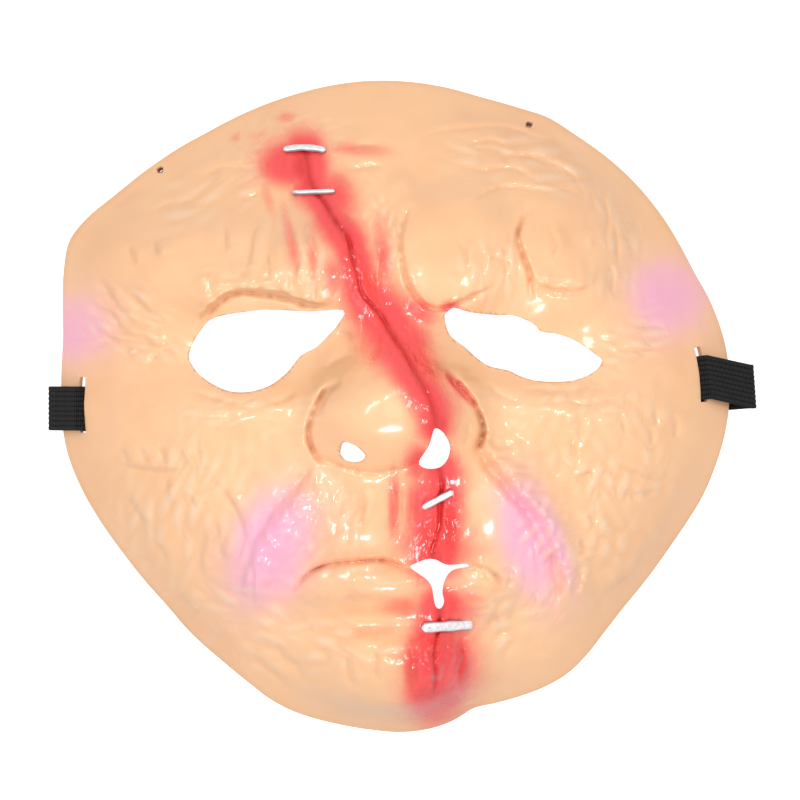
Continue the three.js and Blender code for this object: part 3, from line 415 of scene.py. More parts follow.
# Puckered places, where the skin stands in lobes with creases between. Sizes and heights of the
# lobes are in millimetres, and streaks give the way that they run, in degrees from +X.
LOBE_ROUNDING = 0.8
PUCKER_EDGE = 1.5
PATCH_SIZE = 2.6
PATCH_TURN = 50
PATCH_STRETCH = 1.5
PATCH_DEPTH = 0.75
PUCKERS = {
    "left_cheek": oval(-0.66, -0.33, 0.3, 0.2, tilt=70, size=2.9, height=0.69, streaks=75, stretch=3),
    "left_temple": oval(-0.82, 0.25, 0.2, 0.13, tilt=-30, size=2.3, height=0.8, streaks=-32, stretch=3),
    "left_muzzle": oval(-0.22, -0.36, 0.17, 0.12, tilt=60, size=2.9, height=0.8, streaks=62, stretch=2.2),
    "left_jaw": oval(-0.46, -0.66, 0.2, 0.14, tilt=-30, size=3.1, height=0.8, streaks=-25, stretch=2.4),
    "left_chin": oval(-0.22, -0.72, 0.22, 0.14, tilt=-10, size=3.2, height=1.03, streaks=-12, stretch=2.2),
    "right_chin": oval(0.32, -0.66, 0.2, 0.13, tilt=30, size=3.1, height=1.15, streaks=30, stretch=2),
    "right_lip": oval(0.27, -0.55, 0.1, 0.08, size=2.0, height=0.92, streaks=-20, stretch=2),
    "right_laugh": oval(0.42, -0.45, 0.2, 0.1, tilt=105, size=2.8, height=1.15, streaks=70, stretch=1.8),
    "right_cheek": oval(0.6, -0.25, 0.35, 0.2, tilt=85, size=3.2, height=1.03, streaks=95, stretch=1.8),
    "right_eye_bag": oval(0.5, 0.0, 0.2, 0.07, tilt=5, size=2.3, height=0.69, streaks=20, stretch=2),
    "left_eye_bag": oval(-0.45, -0.01, 0.22, 0.06, size=2.2, height=0.57, streaks=10, stretch=3),
    "left_brow": oval(-0.4, 0.44, 0.2, 0.13, size=4.2, height=1.1, streaks=88, stretch=3.5),
    "left_brow_inner": oval(-0.22, 0.42, 0.08, 0.12, size=2.5, height=0.5, streaks=80, stretch=3),
    "right_brow": oval(0.26, 0.42, 0.1, 0.12, size=2.5, height=0.8, streaks=86, stretch=3),
    "right_forehead": oval(0.35, 0.74, 0.24, 0.1, tilt=-8, size=2.6, height=0.9, streaks=-8, stretch=4),
    "right_temple": oval(0.63, 0.5, 0.18, 0.09, tilt=95, size=2.3, height=0.57, streaks=98, stretch=3),
    "right_eye_corner": oval(0.68, 0.2, 0.12, 0.1, size=2.3, height=0.69, streaks=-5, stretch=3),
    "left_forehead": oval(-0.55, 0.66, 0.22, 0.1, tilt=25, size=2.9, height=0.34, streaks=24, stretch=3.5),
    "scar_side": oval(-0.06, 0.55, 0.13, 0.06, tilt=100, size=1.8, height=0.64, streaks=100, stretch=1.8),
    "scar_top": oval(-0.36, 0.8, 0.18, 0.09, tilt=10, size=1.8, height=0.56, streaks=-15, stretch=2.2),
    "scar_chin": oval(0.1, -0.78, 0.14, 0.09, tilt=90, size=1.6, height=1.12, streaks=85, stretch=1.8),
    "scar_upper_lip": oval(0.1, -0.34, 0.15, 0.08, tilt=90, size=1.6, height=0.88, streaks=80, stretch=1.8),
    "scar_nose": oval(0.02, 0.15, 0.2, 0.07, tilt=-60, size=1.6, height=0.72, streaks=-58, stretch=2),
    "scar_brow": oval(-0.16, 0.48, 0.18, 0.06, tilt=-65, size=1.5, height=0.8, streaks=-60, stretch=2),
}

# Small sideways shifts of every sculpted line, and the sizes of the waves that make them
WAVER = 0.32 * MM
WAVER_TWIST = 1.6
WAVER_SIZES_X = (2.6 * MM, 3.7 * MM)
WAVER_SIZES_Y = (2.9 * MM, 3.1 * MM)


def ease(low, high, value):
    """A smooth step from 0 at low to 1 at high."""
    share = np.clip((value - low) / (high - low), 0, 1)
    return share * share * (3 - 2 * share)


def rim_reach(direction):
    """Share of half the face's size at which the rim lies in each direction, in radians."""
    degrees, reaches = np.array(OUTLINE).T
    angles = np.radians(degrees)
    turn = 2 * math.pi
    angles = np.concatenate([angles[-2:] - turn, angles, angles[:3] + turn])
    reaches = np.concatenate([reaches[-2:], reaches, reaches[:3]])
    slopes = np.zeros(len(angles))
    slopes[1:-1] = (reaches[2:] - reaches[:-2]) / (angles[2:] - angles[:-2])
    around = np.mod(direction, turn)
    row = np.clip(np.searchsorted(angles, around, side="right") - 1, 1, len(angles) - 3)
    span = angles[row + 1] - angles[row]
    t = (around - angles[row]) / span
    blend = t * t * (3 - 2 * t)
    curve = t * (1 - t) ** 2 * span * slopes[row] - t * t * (1 - t) * span * slopes[row + 1]
    return reaches[row] * (1 - blend) + reaches[row + 1] * blend + curve


def out_from_middle(x, y):
    """Each place's direction from the face's middle, and its share of the way out to the rim."""
    direction = np.arctan2(y / HALF_HEIGHT, x / HALF_WIDTH)
    return direction, np.hypot(x / HALF_WIDTH, y / HALF_HEIGHT) / rim_reach(direction)


PATH_STEPS = 3


def smooth_path(path, steps=PATH_STEPS):
    """Points of a smooth curve through a path given in shares, in metres."""
    points = np.array(path, float) * (HALF_WIDTH, HALF_HEIGHT)
    points = np.vstack([2 * points[0] - points[1], points, 2 * points[-1] - points[-2]])
    line = []
    for i in range(1, len(points) - 2):
        a, b, c, d = points[i - 1 : i + 3]
        bend = 2 * a - 5 * b + 4 * c - d
        swing = 3 * b - a - 3 * c + d
        for t in np.arange(steps) / steps:
            line.append(0.5 * (2 * b + (c - a) * t + bend * t**2 + swing * t**3))
    return np.array(line + [points[-2]])


def waver(x, y):
    """Shifts places a little, so that no sculpted line runs as smoothly as a drawn one."""
    along, twist = WAVER_SIZES_X
    shift_x = WAVER * np.sin(y / along + WAVER_TWIST * np.sin(x / twist))
    along, twist = WAVER_SIZES_Y
    shift_y = WAVER * np.sin(x / along + WAVER_TWIST * np.sin(y / twist))
    return x + shift_x, y + shift_y


def beside(path, x, y):
    """Distance of each place from a smooth path, its side and the share of the way along."""
    x, y = waver(x, y)
    line = smooth_path(path)
    steps = np.diff(line, axis=0)
    spans = np.hypot(steps[:, 0], steps[:, 1])
    ends = np.concatenate([[0], np.cumsum(spans)])
    distance = np.full(x.shape, np.inf)
    side = np.zeros(x.shape)
    along = np.zeros(x.shape)
    for start, step, span, begun in zip(line, steps, spans, ends):
        way = step / span
        off_x, off_y = x - start[0], y - start[1]
        reach = np.clip(off_x * way[0] + off_y * way[1], 0, span)
        off_x, off_y = off_x - reach * way[0], off_y - reach * way[1]
        here = np.hypot(off_x, off_y)
        nearer = here < distance
        distance = np.where(nearer, here, distance)
        side = np.where(nearer, np.sign(way[0] * off_y - way[1] * off_x), side)
        along = np.where(nearer, (begun + reach) / ends[-1], along)
    return distance, side, along


def fall_off(distance, reach, edge=2):
    """1 on a line, dying away softly beside it."""
    return np.exp(-((distance / reach) ** edge))


def soft_oval(row, x, y, edge):
    """How far each place lies in a soft oval, from 0 to 1."""
    tilt = math.radians(row["tilt"])
    off_x = x - row["x"] * HALF_WIDTH
    off_y = y - row["y"] * HALF_HEIGHT
    long = (off_x * math.cos(tilt) + off_y * math.sin(tilt)) / (row["long"] * HALF_WIDTH)
    across = (off_y * math.cos(tilt) - off_x * math.sin(tilt)) / (row["across"] * HALF_WIDTH)
    return np.exp(-((long**2 + across**2) ** edge))


def mound_height(x, y):
    height = np.zeros(x.shape)
    for mound in MOUNDS.values():
        height += mound["height"] * soft_oval(mound, x, y, mound["edge"])
    return height * RELIEF


def waves(x, y, size, turn, stretch=1):
    """Smooth uneven lumps from -1 to 1, drawn out along the way that they are turned.

    The factors have no common measure, so the lumps don't stand in rows.
    """
    u = (x * math.cos(turn) + y * math.sin(turn)) / (size * stretch)
    v = (y * math.cos(turn) - x * math.sin(turn)) / size
    return np.sin(2.1 * u + 1.3 * np.sin(1.7 * v)) * np.sin(1.9 * v + 1.1 * np.sin(1.3 * u))


def within_reach(path, room, x, y):
    """Whether each place lies in the box round a path, widened by room."""
    low = np.min(path, axis=0) * (HALF_WIDTH, HALF_HEIGHT) - room
    high = np.max(path, axis=0) * (HALF_WIDTH, HALF_HEIGHT) + room
    return (x > low[0]) & (x < high[0]) & (y > low[1]) & (y < high[1])


def fold_height(x, y, path, depth, width, left_lip, right_lip, reach, fade=FOLD_FADE):
    """A groove along a path with a lip on either side, worked out only near the path."""
    height = np.zeros(x.shape)
    near = within_reach(path, 3 * max(reach, width) * HALF_WIDTH, x, y)
    if not near.any():
        return height
    distance, side, along = beside(path, x[near], y[near])
    ends = ease(0, fade, along) * ease(0, fade, 1 - along)
    uneven = waves(x[near], y[near], FOLD_LUMPS, FOLD_LUMPS_TURN)
    ends *= 1 - FOLD_UNEVEN + FOLD_UNEVEN * uneven
    groove = fall_off(distance, width * HALF_WIDTH)
    spread = fall_off(distance, reach * HALF_WIDTH)
    lip = np.where(side > 0, left_lip, right_lip)
    height[near] = ends * (lip * (1 - groove) * spread - depth * groove)
    return height * RELIEF


def puckered(row, x, y):
    """How far each place lies in a puckered patch and up on its lobes, each from 0 to 1."""
    size = row["size"] * MM
    lobes = abs(waves(x, y, size, math.radians(row["streaks"]), row["stretch"])) ** LOBE_ROUNDING
    turn = math.radians(row["streaks"] + PATCH_TURN)
    patches = ease(-0.5, 0.5, waves(x, y, PATCH_SIZE * size, turn, PATCH_STRETCH))
    here = soft_oval(row, x, y, PUCKER_EDGE) * (1 - PATCH_DEPTH + PATCH_DEPTH * patches)
    return here, lobes


def skin_detail(x, y):
    """Low swellings all over, and the lobes and creases of the puckered places."""
    total = np.zeros(x.shape)
    for row in SWELLS:
        total += row["height"] * waves(x, y, row["size"], math.radians(row["turn"]))
    for row in PUCKERS.values():
        here, lobes = puckered(row, x, y)
        total += row["height"] * MM * here * (lobes - 0.5)
    return total


def face_height(x, y, fine=True):
    """Height of the front surface above the surface that the rim rests on.

    Without the fine detail it has broader folds and no wrinkles, as the wall's back has.
    """
    direction, share = out_from_middle(x, y)
    power = DOME_POWER - DOME_POWER_CHANGE * np.sin(direction)
    dome = DOME_DEPTH * (1 - np.minimum(share, 1) ** power)
    wave = RIM_WAVE * np.maximum(0, np.cos(RIM_FEET * direction)) ** RIM_WAVE_POWER * share**2
    features = mound_height(x, y)
    for fold in FOLDS.values():
        path, depth, reach = fold["path"], fold["depth"], fold["reach"]
        width = fold["width"] if fine else fold["width"] + BACK_SPREAD
        features += fold_height(x, y, path, depth, width, fold["left_lip"], fold["right_lip"], reach)
    if fine:
        for group in WRINKLES.values():
            depth, width, lip = group["depth"], group["width"], WRINKLE_LIP * group["lip"]
            for path in group["paths"]:
                reach = WRINKLE_REACH * width
                features += fold_height(x, y, path, depth, width, lip, 0, reach, WRINKLE_FADE)
        features += skin_detail(x, y)
    return dome + wave + features * ease(1, 1 - RIM_BAND, share)


def bare_height(x, y):
    return face_height(x, y, fine=False)


def piece_from(name, mesh_data):
    piece = bpy.data.objects.new(name, mesh_data)
    scene.collection.objects.link(piece)
    return piece


def mesh_from(shape, name):
    data = bpy.data.meshes.new(name)
    shape.to_mesh(data)
    shape.free()
    return data


def apply_modifiers(piece):
    """Keeps the mesh that the piece's modifiers make, and drops the modifiers."""
    ready = piece.evaluated_get(bpy.context.evaluated_depsgraph_get())
    data = bpy.data.meshes.new_from_object(ready)
    piece.modifiers.clear()
    piece.data = data


# The wall's two sides are grids. The front's cells are halved once over the face, once more near
# folds, wrinkles and the scar, and twice round the pin holes. The rooms beside folds and
# wrinkles are counts of their own widths.
GRID_CELLS = 108
FACE_SHARE = 0.94
SCAR_ROOM = 3.2 * MM
FOLD_ROOM = 2.2
WRINKLE_ROOM = 1.3
PIN_HOLE = 2 * MM
PIN_HOLE_ROOM = 1.2 * PIN_HOLE
PIN_HOLES = [(-0.724, 0.727), (0.378, 0.865)]


def plan_places(square):
    """Places in plan for points of a square, drawn out ring by ring into the face's outline."""
    u, v = np.array(square).T
    share = np.maximum(abs(u), abs(v))
    steep = abs(v) > abs(u)
    turn = np.where(steep, math.pi / 2 - math.pi / 4 * u / np.where(v == 0, 1, v), 0)
    turn = np.where(steep, turn, math.pi / 4 * v / np.where(u == 0, 1, u))
    turn += np.where(np.where(steep, v < 0, u < 0), math.pi, 0)
    reach = share * rim_reach(turn)
    return reach * np.cos(turn) * HALF_WIDTH, reach * np.sin(turn) * HALF_HEIGHT, share


def wrinkle_lines():
    """Each wrinkle's path and width."""
    return [(path, group["width"]) for group in WRINKLES.values() for path in group["paths"]]


def near_line(x, y):
    """Whether each place lies close to a fold or a wrinkle, or a little further from the scar."""
    chosen = np.zeros(x.shape, bool)
    lines = [(path, WRINKLE_ROOM * width * HALF_WIDTH) for path, width in wrinkle_lines()]
    for name, fold in FOLDS.items():
        room = SCAR_ROOM if name.startswith("scar") else FOLD_ROOM * fold["width"] * HALF_WIDTH
        lines.append((fold["path"], room))
    for path, room in lines:
        near = within_reach(path, 2 * room, x, y)
        if near.any():
            chosen[near] |= beside(path, x[near], y[near])[0] < room
    return chosen


def near_pin_hole(x, y, room):
    chosen = np.zeros(x.shape, bool)
    for hole_x, hole_y in PIN_HOLES:
        chosen |= np.hypot(x - hole_x * HALF_WIDTH, y - hole_y * HALF_HEIGHT) < room
    return chosen


def wall_side(cells):
    shape = bmesh.new()
    bmesh.ops.create_grid(shape, x_segments=cells, y_segments=cells, size=1)
    return shape


front_shape = wall_side(GRID_CELLS)
for everywhere in (True, False):
    x, y, share = plan_places([face.calc_center_median()[:2] for face in front_shape.faces])
    chosen = (share < FACE_SHARE) & (everywhere | near_line(x, y)) | near_pin_hole(x, y, PIN_HOLE_ROOM)
    edges = {edge for face, take in zip(front_shape.faces, chosen) if take for edge in face.edges}
    bmesh.ops.subdivide_edges(front_shape, edges=list(edges), cuts=1, use_grid_fill=True)
x, y, share = plan_places([vert.co[:2] for vert in front_shape.verts])
for vert, place in zip(front_shape.verts, zip(x, y, face_height(x, y))):
    vert.co = place

# The back lies one wall behind the front, and at the rim straight inwards from it
SLOPE_STEP = HALF_WIDTH / 500
LEAST_SLOPE = 0.1
RIM_SHARE = 0.99


def bare_rise(x, y):
    """How much the bare face rises over two steps, along +X and along +Y."""
    rise_x = bare_height(x + SLOPE_STEP, y) - bare_height(x - SLOPE_STEP, y)
    rise_y = bare_height(x, y + SLOPE_STEP) - bare_height(x, y - SLOPE_STEP)
    return rise_x, rise_y


back_shape = wall_side(GRID_CELLS)
square = np.array([vert.co[:2] for vert in back_shape.verts])
x, y, share = plan_places(square)
rim = share > RIM_SHARE
inner_x, inner_y, _ = plan_places(square * np.where(rim, 1 - RIM_BAND / 4, 1)[:, None])
slope_x, slope_y = [rise / (2 * SLOPE_STEP) for rise in bare_rise(inner_x, inner_y)]
steepness = np.hypot(slope_x, slope_y)
tall = np.hypot(1, steepness)
steep = np.maximum(steepness, LEAST_SLOPE)
inwards = np.where(rim, WALL * tall / steep / steep, WALL / tall)
back_x, back_y = x + slope_x * inwards, y + slope_y * inwards
back_z = bare_height(x, y) - np.where(rim, 0, WALL / tall)
for vert, place in zip(back_shape.verts, zip(back_x, back_y, back_z)):
    vert.co = place
bmesh.ops.reverse_faces(back_shape, faces=back_shape.faces)
back_mesh = mesh_from(back_shape, "back")
front_shape.from_mesh(back_mesh)
bpy.data.meshes.remove(back_mesh)
rims = [edge for edge in front_shape.edges if edge.is_boundary]
bmesh.ops.bridge_loops(front_shape, edges=rims)
bmesh.ops.recalc_face_normals(front_shape, faces=front_shape.faces)
for vert in front_shape.verts:
    vert.co.z = max(vert.co.z, 0)
shell = piece_from("painted_shell", mesh_from(front_shape, "painted_shell"))

# The openings are cut with straight knives from the front, the slots and pin holes square
# to the wall
HOLES = {
    "left_eye": [
        (-0.175, 0.293), (-0.273, 0.289), (-0.396, 0.295), (-0.467, 0.288), (-0.525, 0.279),
        (-0.572, 0.263), (-0.599, 0.23), (-0.622, 0.193), (-0.634, 0.152), (-0.622, 0.123),
        (-0.599, 0.094), (-0.554, 0.063), (-0.51, 0.046), (-0.467, 0.043), (-0.424, 0.051),
        (-0.381, 0.07), (-0.337, 0.108), (-0.3, 0.155), (-0.258, 0.178), (-0.222, 0.212),
        (-0.19, 0.25),
    ],
    "right_eye": [
        (0.124, 0.272), (0.133, 0.288), (0.154, 0.3), (0.199, 0.287), (0.282, 0.278),
        (0.329, 0.278), (0.387, 0.253), (0.41, 0.229), (0.451, 0.223), (0.497, 0.209),
        (0.534, 0.187), (0.572, 0.159), (0.592, 0.14), (0.576, 0.112), (0.542, 0.091),
        (0.497, 0.077), (0.451, 0.075), (0.397, 0.078), (0.351, 0.091), (0.314, 0.109),
        (0.261, 0.121), (0.225, 0.143), (0.184, 0.18), (0.139, 0.218),
    ],
    "left_nostril": [
        (-0.182, -0.131), (-0.175, -0.11), (-0.16, -0.109), (-0.136, -0.12), (-0.118, -0.135),
        (-0.109, -0.149), (-0.118, -0.163), (-0.139, -0.169), (-0.166, -0.164), (-0.181, -0.147),
    ],
    "right_nostril": [
        (0.096, -0.066), (0.115, -0.074), (0.13, -0.094), (0.14, -0.118), (0.138, -0.143),
        (0.13, -0.164), (0.115, -0.181), (0.096, -0.188), (0.07, -0.188), (0.051, -0.178),
        (0.051, -0.161), (0.064, -0.141), (0.079, -0.115), (0.088, -0.084),
    ],
    "mouth": [
        (0.022, -0.487), (0.046, -0.474), (0.072, -0.464), (0.097, -0.465), (0.118, -0.476),
        (0.139, -0.482), (0.187, -0.478), (0.196, -0.487), (0.172, -0.491), (0.149, -0.498),
        (0.134, -0.512), (0.123, -0.536), (0.118, -0.564), (0.123, -0.59), (0.119, -0.608),
        (0.109, -0.616), (0.098, -0.607), (0.092, -0.582), (0.087, -0.551), (0.072, -0.527),
        (0.046, -0.507),
    ],
}
KNIFE_DEPTH = 6 * WALL
PIN_HOLE_SIDES = 16
STRAP_WIDTH = 14.5 * MM
STRAP_THICKNESS = 1.1 * MM
STRAP_PLAY = 1 * MM
SLOT_OPENING = STRAP_THICKNESS + 2 * STRAP_PLAY
SLOT_PLAY = 3.7 * MM
SLOT_LENGTH = STRAP_WIDTH + SLOT_PLAY
SLOTS = {
    "right": {"x": 0.893, "y": 0.099, "lean": 4, "loop_x": 1.055, "loop_y": 0.061},
    "left": {"x": -0.957, "y": 0.005, "lean": 0, "loop_x": -1.059, "loop_y": -0.006},
}


def face_point(x, y):
    return Vector((x, y, bare_height(np.array([x]), np.array([y]))[0]))


def face_normal(x, y):
    rise_x, rise_y = bare_rise(np.array([x]), np.array([y]))
    return Vector((-rise_x[0], -rise_y[0], 2 * SLOPE_STEP)).normalized()


def level_way(slot):
    """The way up the slot as seen from above."""
    lean = math.radians(slot["lean"])
    return Vector((-math.sin(lean), math.cos(lean), 0))


def slot_frame(slot):
    """Middle of the wall at a slot, and the ways out of the wall, up the slot and down the wall."""
    x, y = slot["x"] * HALF_WIDTH, slot["y"] * HALF_HEIGHT
    out = face_normal(x, y)
    middle = face_point(x, y) - out * WALL / 2
    level = level_way(slot)
    up = (level - out * level.dot(out)).normalized()
    down = up.cross(out)
    if down.x * slot["x"] < 0:
        down = -down
    return middle, out, up, down


knives = bmesh.new()
for outline in HOLES.values():
    closed = smooth_path(outline[-2:] + outline + outline[:2])
    line = closed[2 * PATH_STEPS : (len(outline) + 2) * PATH_STEPS]
    face = knives.faces.new([knives.verts.new((x, y, -RELIEF)) for x, y in line])
    walls = bmesh.ops.extrude_face_region(knives, geom=[face])
    tops = [part for part in walls["geom"] if isinstance(part, bmesh.types.BMVert)]
    bmesh.ops.translate(knives, verts=tops, vec=(0, 0, 2 * DOME_DEPTH + 4 * RELIEF))
for x, y in PIN_HOLES:
    x, y = x * HALF_WIDTH, y * HALF_HEIGHT
    turn = face_normal(x, y).to_track_quat("Z", "Y").to_matrix().to_4x4()
    bmesh.ops.create_cone(
        knives, cap_ends=True, segments=PIN_HOLE_SIDES, radius1=PIN_HOLE / 2, radius2=PIN_HOLE / 2,
        depth=KNIFE_DEPTH, matrix=Matrix.Translation(face_point(x, y)) @ turn,
    )
for slot in SLOTS.values():
    middle, out, up, down = slot_frame(slot)
    size = Matrix.Diagonal((SLOT_OPENING, SLOT_LENGTH, KNIFE_DEPTH, 1))
    turn = Matrix((down, up, down.cross(up))).transposed().to_4x4()
    bmesh.ops.create_cube(knives, size=1, matrix=Matrix.Translation(middle) @ turn @ size)
bmesh.ops.recalc_face_normals(knives, faces=knives.faces)
knife = piece_from("knife", mesh_from(knives, "knife"))
cut = shell.modifiers.new("cut", "BOOLEAN")
cut.operation = "DIFFERENCE"
cut.solver = "EXACT"
cut.object = knife
apply_modifiers(shell)
bpy.data.objects.remove(knife)

# The cut edges stay crisp and the sculpted skin is smooth. A cut's own faces are the ones that
# reach through the wall, from the front to the back.
FRONT_DEPTH = 0.3 * WALL
CORNER_ANGLE = math.radians(50)

places = np.zeros(len(shell.data.vertices) * 3)
shell.data.vertices.foreach_get("co", places)
x, y, z = places.reshape(-1, 3).T
front = z > face_height(x, y) - FRONT_DEPTH
shape = bmesh.new()
shape.from_mesh(shell.data)
through = [len({front[vert.index] for vert in face.verts}) == 2 for face in shape.faces]
cut_points = set()
for face in shape.faces:
    face.smooth = True
for edge in shape.edges:
    first, second = [through[face.index] for face in edge.link_faces]
    corner = first and edge.calc_face_angle() > CORNER_ANGLE
    edge.smooth = first == second and not corner
    if first != second:
        cut_points.update(vert.index for vert in edge.verts)
cut_points = sorted(cut_points)
shape.to_mesh(shell.data)
shape.free()

# The airbrushed paint: red along the scar, deep red down in it and pink on the cheeks and temples,
# with painted shade in brown in the creases and round the pin holes, and painted highlight in pale
# on the puckered skin's crests. Each is an amount from 0 to 1 kept on the shell's points.
# A halo row gives shares of the way along the fold and the paint's half width there.
SPRAY_EDGE = 1.2
PINK_SPRAY_EDGE = 1.1
HALO_EDGE = 2.2
SCAR_PAINT = {
    "scar_upper": [
        (0, 0.075), (0.2, 0.06), (0.45, 0.065), (0.6, 0.1), (0.72, 0.1), (0.85, 0.07), (1, 0.065),
    ],
    "scar_upper_lip": [(0, 0.07), (0.5, 0.08), (1, 0.085)],
    "scar_chin": [(0, 0.075), (0.3, 0.09), (1, 0.1)],
}
RED_SPOTS = [
    oval(-0.15, -0.36, 0.16, 0.14, amount=0.18),
    oval(-0.08, -0.5, 0.28, 0.14, amount=0.2),
    oval(-0.33, 0.745, 0.11, 0.08, amount=1.0),
    oval(-0.2, 0.64, 0.07, 0.1, tilt=30, amount=0.8),
    oval(0.085, -0.33, 0.09, 0.17, amount=0.95),
    oval(0.1, -0.42, 0.13, 0.09, amount=0.8),
    oval(0.115, -0.79, 0.12, 0.15, amount=1.0),
    oval(0.12, -0.62, 0.11, 0.09, amount=0.8),
    oval(-0.14, 0.785, 0.12, 0.025, tilt=-4, amount=0.5),
    oval(-0.345, 0.885, 0.035, 0.02, amount=0.5),
    oval(-0.43, 0.83, 0.045, 0.02, tilt=10, amount=0.3),
    oval(-0.5, 0.825, 0.02, 0.015, amount=0.45),
    oval(-0.4, 0.64, 0.018, 0.075, tilt=15, amount=0.4),
    oval(-0.33, 0.5, 0.02, 0.13, tilt=12, amount=0.5),
    oval(-0.265, 0.46, 0.018, 0.12, tilt=4, amount=0.45),
    oval(-0.19, 0.4, 0.06, 0.09, amount=0.6),
    oval(-0.06, 0.45, 0.035, 0.13, tilt=6, amount=0.6),
    oval(0.03, 0.29, 0.09, 0.05, tilt=-25, amount=0.75),
    oval(0.14, 0.3, 0.035, 0.025, amount=0.7),
    oval(0.16, 0.06, 0.09, 0.02, tilt=-45, amount=0.7),
    oval(0.05, -0.17, 0.05, 0.07, amount=0.8),
    oval(-0.025, -0.3, 0.022, 0.12, amount=0.65),
    oval(0.01, -0.61, 0.09, 0.04, amount=0.55),
    oval(-0.07, -0.68, 0.1, 0.03, tilt=4, amount=0.35),
    oval(0.2, -0.58, 0.05, 0.03, tilt=-20, amount=0.5),
]
DEEP_SPOTS = [
    oval(-0.297, 0.735, 0.035, 0.05, amount=1.0),
    oval(-0.28, 0.69, 0.02, 0.04, amount=0.9),
    oval(-0.12, 0.37, 0.05, 0.07, amount=0.6),
    oval(0.1, -0.06, 0.035, 0.05, amount=0.9),
    oval(0.095, -0.4, 0.05, 0.1, amount=0.8),
    oval(0.14, -0.37, 0.035, 0.12, tilt=4, amount=0.95),
    oval(0.1, -0.76, 0.07, 0.1, amount=0.75),
    oval(0.025, -0.79, 0.03, 0.1, amount=0.9),
    oval(0.175, -0.79, 0.03, 0.11, amount=0.9),
    oval(0.1, -0.88, 0.09, 0.05, amount=0.85),
    oval(0.15, -0.6, 0.03, 0.05, amount=0.6),
]
PINK_SPOTS = [
    oval(0.785, 0.335, 0.13, 0.13, amount=0.88),
    oval(-0.985, 0.24, 0.13, 0.12, amount=0.8),
    oval(-0.39, -0.43, 0.13, 0.2, tilt=-22, amount=1.0),
    oval(0.375, -0.41, 0.09, 0.2, tilt=18, amount=1.0),
    oval(0.45, -0.4, 0.035, 0.2, tilt=20, amount=0.75),
]
# The scar's own dark paint, and painted shade: brown in folds, wrinkles, puckers and along the cut
# edges, where the openings' edges take more painted shade than the rim's
DEEP_REACH = 2.2 * MM
GASH_REACH = 0.45 * MM
WRINKLE_SHADE = 0.15
CREASE_WIDTH = 0.7
CREASE_FADE = 0.3
PUCKER_SHADE = 0.1
CUT_SHADE = 0.9
RIM_SHADE = 0.15
OPENINGS_SHARE = 0.8
PIN_HOLE_EDGE = 0.55 * PIN_HOLE
# How far the plain skin takes the finest wrinkles, and their place's radius round the face
PLAIN_PUCKER = 0.15
WRINKLE_ROUND = 22 * MM


def spots(rows, x, y, edge):
    total = np.zeros(x.shape)
    for row in rows:
        total = np.maximum(total, row["amount"] * soft_oval(row, x, y, edge))
    return total


def crease_shade_amount(x, y):
    """How much painted shade each place takes down in a fold or wrinkle, from 0 to 1."""
    total = np.zeros(x.shape)
    lines = [(fold["path"], fold["width"], fold["painted_shade"]) for fold in FOLDS.values()]
    lines += [(path, width, WRINKLE_SHADE) for path, width in wrinkle_lines()]
    for path, width, painted_shade in lines:
        groove = fold_height(x, y, path, painted_shade, CREASE_WIDTH * width, 0, 0, width, CREASE_FADE)
        total = np.maximum(total, -groove / RELIEF)
    return np.minimum(total, 1)


paint = {
    "red": spots(RED_SPOTS, x, y, SPRAY_EDGE),
    "gash": np.zeros(x.shape),
    "deep": spots(DEEP_SPOTS, x, y, SPRAY_EDGE),
    "pink": spots(PINK_SPOTS, x, y, PINK_SPRAY_EDGE),
    "crease_shade": crease_shade_amount(x, y),
    "pucker": np.full(x.shape, PLAIN_PUCKER),
    "crest_highlight": np.zeros(x.shape),
    # painted shade round the pin holes
    "hole": near_pin_hole(x, y, PIN_HOLE_EDGE),
}


def add_paint(name, amount):
    paint[name] = np.maximum(paint[name], amount)


for name, halo in SCAR_PAINT.items():
    distance, side, along = beside(FOLDS[name]["path"], x, y)
    ways, halves = np.array(halo).T
    half = np.interp(along, ways, halves) * HALF_WIDTH
    add_paint("red", fall_off(distance, half, HALO_EDGE))
    add_paint("deep", fall_off(distance, DEEP_REACH))
    add_paint("gash", fall_off(distance, GASH_REACH))
# Each puckered patch takes painted highlight on its lobes' crests and painted shade between them
for row in PUCKERS.values():
    here, lobes = puckered(row, x, y)
    add_paint("pucker", here)
    add_paint("crest_highlight", here * lobes**2)
    add_paint("crease_shade", PUCKER_SHADE * here * (1 - lobes) ** 3)
front = np.maximum(front, paint["hole"])
direction, share = out_from_middle(x, y)
# Painted shade along the cut edges: darker round the openings than at the rim
paint["crease_shade"][cut_points] = np.where(share[cut_points] < OPENINGS_SHARE, CUT_SHADE, RIM_SHADE)
for name, amount in paint.items():
    layer = shell.data.attributes.new(name, "FLOAT", "POINT")
    layer.data.foreach_set("value", (amount * front).astype(np.float32))

# The fine wrinkles run round the face, so their places are given round it and out from it
around = WRINKLE_ROUND * np.array([np.cos(direction), np.sin(direction)])
flow_places = np.stack([*around, share * HALF_WIDTH], axis=1)
flow = shell.data.attributes.new("flow", "FLOAT_VECTOR", "POINT")
flow.data.foreach_set("vector", flow_places.astype(np.float32).ravel())


def set_inputs(tree, node, inputs):
    """Links each input that is given a socket, and sets each that is given a value."""
    for key, value in inputs.items():
        if isinstance(value, bpy.types.NodeSocket):
            tree.links.new(value, node.inputs[key])
        else:
            node.inputs[key].default_value = value


def add_node(tree, kind, settings=None, inputs=None):
    node = tree.nodes.new(kind)
    for key, value in (settings or {}).items():
        setattr(node, key, value)
    set_inputs(tree, node, inputs or {})
    return node


